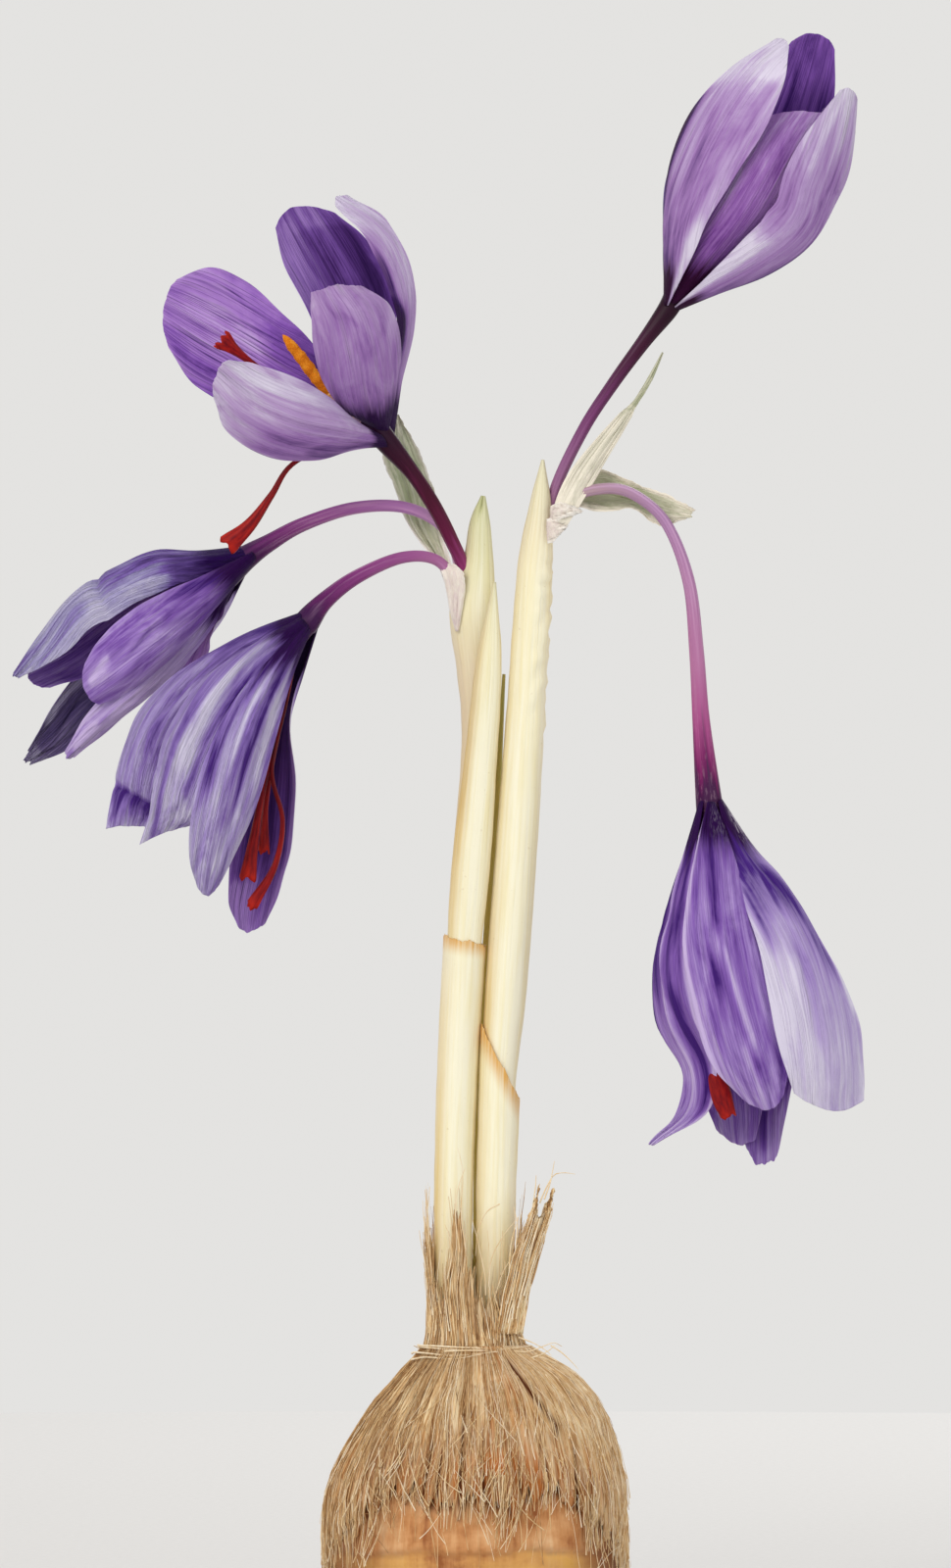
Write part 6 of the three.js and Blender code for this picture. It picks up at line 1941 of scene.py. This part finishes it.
# Flower that hangs at the left, its stigmas in its mouth.
WILTED = {"ribs": 0.022, "crumple": 0.5}
FADING = ((0, -0.85), (0.14, -0.45), (0.28, -0.15), (0.5, 0), (0.7, 0.12), (1, 0.35))
HANGING_TEPALS = (
    Tepal("inner_1", Blade(
        ((-22.5, -11, 133.3), (-27.6, -16.6, 128), (-32, -19.6, 122), (-35, -20.6, 115.4), (-36.6, -20, 109),
        (-36.9, -18.6, 103.4), (-35.9, -17.2, 99.4)),
        ((-21.4, -10.8, 132.4), (-23.5, -15.4, 127), (-25, -18.2, 121.5), (-26.5, -19.2, 116),
        (-28.2, -18.8, 110), (-30.4, -17.8, 105), (-33, -17, 99.8)),
        (0.3, 1.5, 2.2, 2.2, 1.8, 1.2, 0.4), (Fold(0.45, 0.4, 0.1, 0.3, 0.5),
        Fold(0.15, 0.6, 0.1, 0.3, -0.4)), cap=1.3, **WILTED),
        STREAKED_HIGHLIT, VIOLET, FADING, flush=0.12, streaks=((0.8, 0.1, 0.85, 0.6, 0.08, 0.6),
        (0.62, 0.2, 0.6, 0.7, 0.04, -0.8), (0.3, 0.6, 0.5, 0.9, 0.3, 0.3),
        (0.2, 0.15, 0.12, 0.6, 0.05, -0.6), (0.4, 0.1, 0.36, 0.5, 0.06, 0.5))),
    Tepal("outer_1", Blade(
        ((-22.8, -10.8, 134.2), (-29, -14.6, 130.6), (-35.6, -16.6, 125.8), (-39.8, -17, 119.6),
        (-41.4, -16.6, 113.6), (-42.2, -15.6, 108.6), (-43.4, -14.6, 104.9)),
        ((-21.6, -11, 133), (-25.4, -15.6, 128), (-28.6, -18, 121), (-31, -18.8, 115), (-33, -18.6, 110.6),
        (-34.8, -17.6, 108.2), (-36.2, -16.8, 107.4)),
        (0.2, 1.2, 1.8, 1.8, 1.4, 0.8, 0.1), (Fold(0.3, 0.4, 0.1, 0.3, 0.5),
        Fold(0.55, 0.6, 0.1, 0.3, -0.4)), cap=-0.5, ragged=0.08, **WILTED),
        STREAKED_HIGHLIT, VIOLET, FADING, flush=0.08, streaks=((0.35, 0.15, 0.4, 0.6, 0.1, 0.6),
        (0.2, 0.4, 0.15, 0.9, 0.06, -0.7), (0.75, 0.5, 0.6, 0.9, 0.2, 0.35),
        (0.6, 0.2, 0.55, 0.7, 0.05, -0.6))),
    Tepal("inner_2", Blade(
        ((-22.6, -9, 134.9), (-30, -9, 132), (-37, -9, 128.2), (-42.6, -9.4, 123.5), (-45.6, -10, 118),
        (-47, -10.6, 112), (-47.9, -11, 106.8)),
        ((-22.5, -10.4, 134.2), (-28, -13.4, 130), (-33.6, -14.6, 124), (-37.4, -14.6, 118),
        (-39.4, -14, 112.6), (-41, -13, 109), (-42.4, -12, 106.9)),
        (0.2, 1, 1.5, 1.5, 1.2, 0.6, 0.1), (Fold(0.35, 0.815, 0.5, 0.018, -0.8),
        Fold(0.35, 0.92, 0.1, 0.06, 0.5)), cap=-0.4, **WILTED),
        # the dark dip in tone at 0.82 is painted shade in the furrow across it
        STREAKED_HIGHLIT, DUSKY_SHADED, ((0, -0.7), (0.2, -0.35), (0.5, -0.1), (0.79, 0.25), (0.82, -0.7), (0.92, -0.1),
        (1, 0.4)), flush=0.06, streaks=((0.9, 0.1, 0.5, 0.5, 0.08, 0.6),)),
    Tepal("outer_2", Blade(
        ((-20.6, -8.8, 132.8), (-22.4, -7.6, 127.6), (-24, -6.6, 121.6), (-23.5, -6.6, 113),
        (-23.8, -7.4, 105), (-25.2, -8, 99.4), (-27.2, -8.4, 94.8)),
        ((-21.1, -7.6, 132.8), (-25, -3.6, 126), (-28.6, -1.6, 119), (-31, -2, 111), (-32, -4, 103),
        (-32.2, -6.4, 97.6), (-30.9, -8, 94)),
        (0.2, 1, 1.6, 1.8, 1.6, 1, 0.2), cap=0.9, ragged=0.12, ribs=0.04),
        LILAC, DUSKY_SHADED, ((0, -0.6), (0.4, -0.35), (0.75, 0.15), (1, 0.5)), rim=0.5,
        streaks=((0.75, 0.75, 0.7, 1.05, 0.35, 0.6), (0.02, 0.3, 0.02, 0.95, 0.06, 1.2))),
    Tepal("outer_3", Blade(
        ((-23.2, -8.2, 134.1), (-31, -5, 129), (-37.4, -3, 122.4), (-41.4, -3, 114.8), (-42.4, -5, 109.4)),
        ((-23, -7.6, 133.5), (-29.4, -1.4, 126.6), (-34, 0.4, 119), (-37, -0.6, 112.6), (-41.6, -4.6, 109)),
        (0.2, 1.4, 2, 1.4, 0.2)),
        MAUVE, DUSKY_SHADED),
    Tepal("inner_3", Blade(
        ((-22.6, -7.2, 133), (-28.8, 0.4, 124.4), (-33.6, 4, 115), (-35.6, 2.6, 106.6), (-35, -1, 101.4)),
        ((-21.9, -7, 132.6), (-25, -0.2, 124), (-28.2, 3.4, 115), (-30.8, 2.4, 107), (-33, -1, 101.2)),
        (0.2, 1.2, 1.6, 1.2, 0.2)),
        MAUVE, DUSKY_SHADED))
HANGING = Flower(
    number=3,
    tube=((-1.6, 1.8, 134, 0.6), (-2.7, 0.9, 138.8, 0.65), (-5.2, -1.4, 141.9, 0.7), (-9.7, -4, 142.1, 0.75),
        (-15.4, -6.5, 139.6, 0.9), (-19.5, -8.2, 136.5, 1.15), (-22, -9, 133.5, 1.7)),
    tube_finish=tube_tissue("floral_tube_rose", ((0, "c8a4ae"), (0.15, "b77aa8"), (0.35, "97508c"),
        (0.5, "7c3474"), (0.62, "5a1a58"), (0.7, "3a0c44"), (1, "280432")), strength=0.4),
    funnel=3,
    mouth=-0.9,
    axis=((-22, -9, 133.5), (-36, -11, 104)),
    stigmas=(
        Stigma(((-22.9, -9.6, 131.8, 0.35), (-24.6, -12, 123, 0.28), (-26.4, -12.6, 114.5, 0.28),
        (-25, -12.8, 108, 0.32), (-26, -12.8, 102, 0.42), (-29, -12.6, 96.8, 0.8, 0.4)), lobes=2, lip=0.9),
        Stigma(((-22.9, -9.6, 131.8, 0.35), (-25.6, -12, 121, 0.28), (-27.6, -12.8, 111.5, 0.4),
        (-28.6, -13, 106, 0.6, 0.4), (-29.5, -13, 100.3, 1.1, 0.5)), lobes=4),
        Stigma(((-22.9, -9.6, 131.8, 0.35), (-25.4, -11, 120, 0.28), (-27.1, -11.4, 110.5, 0.32),
        (-27.4, -11.6, 103.8, 0.75, 0.4)))),
    stamens=fan((-23.6, -8, 131.2), (-33.5, -8.6, 112), 2.4, STAMEN_RADII),
    tepals=HANGING_TEPALS)

# Half-opened bud at the upper right.
BUD_TEPALS = (
    Tepal("outer_1", Blade(
        ((24.7, 1.6, 175), (24.8, 1.4, 181), (24.7, 0.8, 187), (25.4, 0.4, 193.8), (28.2, 0, 200.6),
        (33, -1.4, 205.9), (39, -3.4, 209.7)),
        ((25.2, 0.4, 175.2), (27.6, -4, 180.2), (30.3, -7, 186), (34, -9, 192), (38.1, -9.8, 198.8),
        (40.3, -8.6, 204.4), (40.8, -5, 208.8)),
        (0.2, 1.2, 2.2, 2.6, 2.4, 1.6, 0.2), cap=0.4, ribs=0.02, ruffle=0.1),
        PINK, DUSKY_SHADED, ((0, -0.8), (0.12, -0.5), (0.35, -0.1), (0.65, 0.1), (1, 0.7)), flush=0.1, rim=0,
        # its first stroke, dark along its left margin, is painted shade
        streaks=((0.04, 0.1, 0.06, 0.72, 0.1, -1.4), (0.1, 0.75, 0.3, 1, 0.25, 0.5),
        (0.93, 0.3, 0.95, 0.6, 0.1, 0.3), (0.96, -0.1, 0.92, 0.3, 0.14, 1.2),
        (0.8, 0.8, 0.85, 1.1, 0.2, 0.5), (0.4, 0.15, 0.3, 0.45, 0.1, -0.35))),
    Tepal("outer_2", Blade(
        ((26, 0.5, 175), (30.4, -3.6, 179), (34.8, -7, 183.4), (38.7, -9, 187.6), (40.2, -9.6, 192.4),
        (43.3, -8.6, 197.8), (47.4, -5.4, 203)),
        ((26.6, 1.8, 174.7), (32.4, 0.8, 177.4), (38.4, 0.4, 179.7), (43.6, 0, 183.3), (47, -0.6, 188.4),
        (49.2, -1.4, 194.4), (49.8, -3.4, 201.4)),
        (0.2, 1.4, 2.4, 2.8, 2.4, 1.6, 0.2), (Fold(0, 0.47, 0.12, 0.04, -0.5),), cap=0.9, ribs=0.02,
        ruffle=0.1),
        PINK, DUSKY_SHADED, ((0, -0.6), (0.15, -0.3), (0.4, 0.05), (0.7, 0.15), (1, 0.7)), flush=0.07, rim=0,
        streaks=((0.03, -0.1, 0.08, 0.4, 0.14, 1.1), (0.85, 0.1, 0.9, 0.6, 0.2, -0.6),
        (0.5, 0.4, 0.55, 0.8, 0.08, -0.4))),
    Tepal("inner_1", Blade(
        ((25.4, 0.8, 175.6), (26.6, -2.4, 182), (29.6, -5, 188.4), (33.2, -6.6, 194.2), (37.2, -6.8, 199.4)),
        ((26.4, 0.6, 175.4), (33.6, -2.8, 181), (39.8, -5.4, 186.8), (43.6, -6.4, 193.6),
        (46.6, -5.2, 199.6)),
        (0.2, 1, 2, 1.6, 0.3), cap=0.8, ribs=0.02, ruffle=0.1),
        MAGENTA, DUSKY_SHADED, ((0, -0.8), (0.2, -0.4), (0.6, 0), (1, 0.5)), flush=0.14),
    Tepal("inner_2", Blade(
        ((24.9, 2.4, 176), (25, 4, 183), (25.2, 5.4, 192), (29.2, 6.4, 201), (35.2, 6, 206.2)),
        ((25.2, 3.2, 176.2), (26.8, 6.8, 184), (29, 8.4, 193), (32.6, 8, 201.4), (36.2, 5.6, 206)),
        (0.2, 1.2, 1.8, 1.2, 0.2), ruffle=0.1),
        MAUVE, DUSKY_SHADED, ((0, -0.8), (1, -0.2))),
    Tepal("outer_3", Blade(
        ((25.6, 3.8, 176.2), (27, 7, 182.4), (29.6, 9.2, 190.6), (34.4, 9, 199.4), (38.4, 7.6, 206),
        (41.4, 6.4, 210)),
        ((26.3, 3.8, 176), (33.6, 8, 180.6), (40.8, 9.6, 187), (45.4, 8.6, 194.6), (47, 7, 202.4),
        (47.1, 6.2, 209)),
        (0.2, 1.2, 2, 2, 1.2, 0.2), cap=1.6, ribs=0.03, ruffle=0.1),
        MAUVE, VIOLET, ((0, -0.5), (0.5, -0.6), (0.8, -0.4), (1, -0.2)), rim=0.1, veining=(0.2, 1)),
    Tepal("inner_3", Blade(
        ((26.3, 3.3, 175.8), (34.4, 6.6, 180.8), (41, 7.6, 188), (44.4, 6.6, 196), (45.4, 4.6, 201)),
        ((26.8, 2.8, 175.7), (36, 3.4, 180), (43, 3.4, 186.6), (46.6, 2.6, 194), (46.8, 4, 200.6)),
        (0.2, 1.2, 1.6, 1, 0.2), ruffle=0.1),
        MAUVE, DUSKY_SHADED))
BUD = Flower(
    number=4,
    tube=((9, 0.8, 143, 0.6), (10.2, 1, 150.6, 0.7), (14, 1.2, 158.8, 0.75), (18, 1.5, 165, 0.8),
        (22, 1.8, 170.5, 0.95), (25, 2, 174.5, 1.35)),
    tube_finish=tube_tissue("floral_tube_dark_plum", ((0, "b88aa8"), (0.14, "a0709a"), (0.3, "743a6c"),
        (0.5, "40102f"), (0.68, "26041c"), (1, "22051e")), "6a3260", 0.3),
    axis=((25, 2, 174.5), (43, 1, 208)),
    stigmas=[Stigma(stations) for stations in fan((26.4, 2.2, 177), (34, 2.8, 192), 1.2, STIGMA_RADII)],
    stamens=fan((26.6, 3.6, 177), (33, 3.4, 190), 1.4, STAMEN_RADII, 1),
    tepals=BUD_TEPALS)

# Long flower that hangs at the right.
LONG_TEPALS = (
    Tepal("outer_1", Blade(
        ((31.6, -4.8, 110.4), (32.8, -8.4, 103), (34.8, -11, 97), (36.7, -13, 91), (38, -14.2, 84.4),
        (39.4, -14.4, 78), (41.4, -13, 72.6)),
        ((32, -3.6, 110.6), (36.4, -4.4, 104), (41.4, -4.6, 98), (45.9, -4.8, 91), (49, -5, 84.4),
        (50.4, -5.6, 77.6), (50.7, -7, 71.6)),
        (0.2, 1.4, 2.2, 2.4, 2.4, 1.8, 0.3), (Fold(0.5, 0.99, 0.6, 0.05, -0.5),), cap=1.9, ragged=0.03,
        crumple=0.3),
        LILAC, VIOLET, ((0, -0.7), (0.12, -0.55), (0.28, -0.4), (0.42, -0.15), (0.65, 0.22), (1, 0.5)),
        flush=0.1, fleck=0.9, rim=0.1, veining=(0.3, 0.8), streaks=((0.02, -0.1, 0.02, 0.8, 0.03, 0.6),
        (0.6, 0.25, 0.75, 0.6, 0.14, -0.4), (0.25, 0.5, 0.3, 0.95, 0.2, 0.2),
        (0.5, 0.05, 0.45, 0.4, 0.12, -0.3), (0.12, 0, 0.14, 0.4, 0.14, -0.35),
        (0.1, 0.5, 0.2, 1, 0.2, 0.35), (0.35, 0.5, 0.4, 0.8, 0.06, -0.4),
        (0.97, -0.05, 0.97, 0.7, 0.06, 1.1))),
    Tepal("inner_1", Blade(
        ((30.2, -4.9, 110.2), (28.6, -8, 104), (27.3, -10.2, 97), (26.9, -11.6, 91), (28.1, -12.6, 84),
        (30.4, -12.6, 76.6), (34.6, -11.4, 71.8)),
        ((31.2, -5.1, 110.2), (33.4, -8.4, 104), (35.4, -10.6, 97), (37.4, -12, 91), (39.2, -12.8, 84),
        (40.8, -12.4, 77.6), (40, -11, 72.4)),
        (0.2, 1, 1.6, 1.6, 1.4, 1, 0.3), (Fold(0.12, 0.3, 0.05, 0.4, 0.35),), cap=1.8, ribs=0.045,
        crumple=0.4),
        MAUVE, VIOLET, ((0, -0.9), (0.15, -0.35), (0.35, 0), (0.6, 0), (0.8, 0.3), (1, 0.2)), flush=0.1,
        fleck=0.2, veining=(0.5, 0.8), streaks=((0.4, 0.05, 0.45, 0.45, 0.07, -0.7),
        # the thin pale stroke along its first margin is a painted highlight
        (0.02, 0.02, 0.02, 0.9, 0.05, 0.9), (0.25, 0.4, 0.6, 0.9, 0.08, -0.5),
        (0.3, 0.22, 0.34, 0.5, 0.1, 0.35), (0.52, 0.5, 0.62, 0.8, 0.05, 0.6),
        (0.4, 0.62, 0.5, 0.95, 0.05, 0.5), (0.8, 0.3, 0.85, 0.75, 0.1, 0.3))),
    Tepal("outer_2", Blade(
        ((29.3, -3.2, 110.4), (27.4, -2.4, 103), (25.2, -1.8, 96), (23.3, -1.8, 88.6), (23.8, -2, 81.7),
        (26.9, -3, 75), (26, -4.2, 69.6), (22.6, -5, 65.8)),
        ((29.7, -4.6, 110.4), (28.5, -7.4, 103), (27.5, -9.6, 96), (27.5, -10.8, 89), (28.9, -11, 82.6),
        (31, -9.6, 76), (30.1, -7, 70), (23.4, -5.2, 65.7)),
        (0.2, 0.8, 1.2, 1.4, 1.2, 0.8, 0.5, 0), (Fold(0.55, 0.5, 0.06, 0.35, 0.5),), cap=0.2, ribs=0.04,
        crumple=0.3),
        MAUVE, DUSKY_SHADED, ((0, -0.9), (0.2, -0.6), (0.5, -0.25), (0.8, 0.15), (1, 0.6)), flush=0.1, rim=0.1,
        streaks=((0.97, 0.1, 0.97, 0.9, 0.05, 0.8), (0.03, 0.2, 0.03, 0.7, 0.08, -0.6),
        (0.55, 0.1, 0.55, 0.8, 0.06, 0.9), (0.15, 0.5, 0.3, 0.75, 0.14, 0.6),
        (0.75, 0.5, 0.8, 0.9, 0.12, -0.6))),
    Tepal("inner_2", Blade(
        ((30, -2.2, 109.6), (28, 1.4, 100), (27.4, 3.6, 90), (28.4, 4, 80.6), (29.4, 2.6, 73),
        (31.4, 0.8, 67.6)),
        ((30.5, -1.8, 109.6), (31.6, 3, 100), (33.4, 5.6, 89), (36, 5.6, 79), (37.6, 3.4, 72),
        (36.6, 1, 66.2)),
        (0.2, 0.8, 1.2, 1.2, 0.8, 0.2), cap=1.3, ragged=0.12),
        MAGENTA, MAUVE, ((0, -0.5), (0.7, -0.3), (1, 0.3)), veining=(1, 1)),
    Tepal("outer_3", Blade(
        ((30.9, -1.6, 109.6), (33.4, 3.4, 100), (34.4, 6, 89), (34.4, 6, 79), (33.8, 3.6, 70.4),
        (35.4, 1.2, 65)),
        ((31.5, -2, 109.7), (37, 1, 101), (42, 3.2, 90), (43, 3.2, 80), (41.2, 2.4, 72.4), (39.7, 1, 65)),
        (0.2, 1.2, 1.8, 1.8, 1.2, 0.2), cap=2.2, ragged=0.25, crumple=0.35),
        MAUVE, MAUVE, ((0, -0.6), (0.8, -0.35), (1, 0.1)), rim=0.6, veining=(1, 1),
        streaks=((0.8, 0.8, 0.7, 1, 0.2, 0.4), (0.5, 0.7, 0.5, 0.95, 0.08, -0.6))),
    Tepal("inner_3", Blade(
        ((30.4, -1, 109.4), (29.6, 5.4, 99), (30, 9.6, 88), (31.4, 10.8, 79), (33.6, 8.6, 73)),
        ((30.9, -0.8, 109.4), (34.6, 5.8, 99), (38, 10, 88), (39.2, 10.8, 79), (37.2, 8.6, 72.6)),
        (0.2, 1, 1.6, 1.4, 0.2)),
        MAUVE, DUSKY_SHADED))
LONG = Flower(
    number=5,
    tube=((9.6, -1, 146, 0.6), (12, -1.3, 149.8, 0.65), (17, -1.8, 151.2, 0.7), (21, -2.1, 150.2, 0.7),
        (25, -2.5, 146.4, 0.7), (27.8, -2.8, 139, 0.8), (28.8, -3, 130, 0.95), (29.4, -3, 121, 1.15),
        (30.4, -3, 110.5, 1.75)),
    tube_finish=tube_tissue("floral_tube_pale_rose", ((0, "b8a4a2"), (0.15, "ac8c9c"), (0.4, "a67ca8"),
        (0.62, "b0709c"), (0.7, "a44c86"), (0.75, "741a5c"), (0.785, "400c42"), (1, "2a0832")), "d9b6d8",
        0.4),
    speckled=0.2,
    axis=((30.4, -3, 110.5), (36, -4, 72)),
    stigmas=(
        Stigma(((30.6, -3.4, 108.6, 0.35), (30.4, -4.6, 95, 0.35), (30.1, -6, 84, 0.5),
        (30.8, -8, 76.8, 0.85, 0.7), (31.9, -8.4, 72.4, 1.35, 0.7), (32.9, -8.4, 69.4, 1, 0.7)), lip=0.4),
        Stigma(((30.6, -3.4, 108.6, 0.35), (32.6, -4, 95, 0.35), (34.4, -4.4, 84, 0.5),
        (35.4, -4.6, 76, 1.2, 0.5))),
        Stigma(((30.6, -3.4, 108.6, 0.35), (31.6, -2, 95, 0.35), (32.2, -1, 86, 0.5),
        (32.4, -0.6, 78, 1.2, 0.5)))),
    stamens=fan((31, -1.6, 107.8), (36.6, -3, 88), 2.2, STAMEN_RADII),
    tepals=LONG_TEPALS)

FLOWERS = (OPEN, DROOPING, HANGING, BUD, LONG)




# ---------- Studio ----------


@dataclass(frozen=True)
class Lamp:
    """Soft square light that faces the plant's middle. Place and size in metres, power in watts."""

    name: str
    place: Point
    size: float
    power: float
    colour: str = "ffffff"


@dataclass
class Studio:
    """Level camera, a pale floor, and soft lights. The view is 0.61 times as wide as it is high."""

    distance: float = 1.6  # metres in front of the plant
    middle: float = 0.11264  # height of the view's middle, metres
    span: float = 0.2048  # height of the view at the plant, metres
    backdrop: str = "e9e8e6"
    glow: float = 0.95  # strength of the backdrop's light
    floor: float = 0.6  # its radius, metres
    lamps: Sequence[Lamp] = (
        Lamp("key_light", (-0.55, -0.9, 0.65), 0.5, 5.0, "fffaf2"),
        Lamp("fill_light", (0.8, -0.8, 0.25), 0.8, 1.0),
        Lamp("rim_light", (0.25, 0.7, 0.6), 0.5, 2.0))

    def build_camera(self) -> None:
        """Makes the camera, which looks level along +Y."""
        data = bpy.data.cameras.new("picture_camera")
        data.sensor_width = 36.0
        data.lens = data.sensor_width * self.distance / self.span
        data.clip_end = 20.0
        camera = show("picture_camera", data)
        camera.location = (0.0, -self.distance, self.middle)
        camera.rotation_euler = (math.pi / 2, 0.0, 0.0)
        bpy.context.scene.camera = camera

    def build_lamps(self) -> None:
        """Makes the soft lights."""
        target = np.array([0.0, 0.0, self.middle])
        for lamp in self.lamps:
            data = bpy.data.lights.new(lamp.name, "AREA")
            data.size, data.energy, data.color = lamp.size, lamp.power, linear(lamp.colour)[:3]
            light = show(lamp.name, data)
            light.location = lamp.place
            aim = target - np.array(lamp.place)
            light.rotation_euler = (math.atan2(math.hypot(aim[0], aim[1]), -aim[2]), 0.0,
                                    math.atan2(aim[1], aim[0]) - math.pi / 2)

    def build_floor(self) -> None:
        """Makes the round floor, and the world of the same pale tone."""
        angle = np.linspace(0, TURN, 96, endpoint=False)
        disc = around(self.floor, angle, np.zeros(len(angle)))
        data = bpy.data.meshes.new("studio_floor")
        data.from_pydata(disc.tolist(), [], [list(range(len(angle)))])
        data.materials.append(FLOOR_BOARD.material())
        show("studio_floor", data)
        world = bpy.data.worlds.new("studio_world")
        world.use_nodes = True
        background = world.node_tree.nodes["Background"]
        background.inputs["Color"].default_value = linear(self.backdrop)
        background.inputs["Strength"].default_value = self.glow
        bpy.context.scene.world = world
        bpy.context.scene.view_settings.view_transform = "Standard"

    def build(self) -> None:
        """Makes the studio."""
        self.build_camera()
        self.build_lamps()
        self.build_floor()


def main() -> None:
    """Builds the plant round the frame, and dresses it."""
    logging.basicConfig(level=logging.INFO, format="%(message)s")
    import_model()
    Studio().build()
    Corm().build()
    Tunic().build()
    Shoots().build()
    Bracts().build()
    finishes = {tissue: tissue.value.material() for tissue in Tissue}
    crimson, pollen, thread = CRIMSON.material(), POLLEN.material(), FILAMENT.material()
    grains = GrainTree()
    for flower in FLOWERS:
        flower.build_tube()
        flower.build_style(crimson)
        flower.build_stamens(thread, pollen, grains)
        flower.build_tepals(finishes)
        LOG.info("flower %d done", flower.number)


if __name__ == "__main__":
    main()
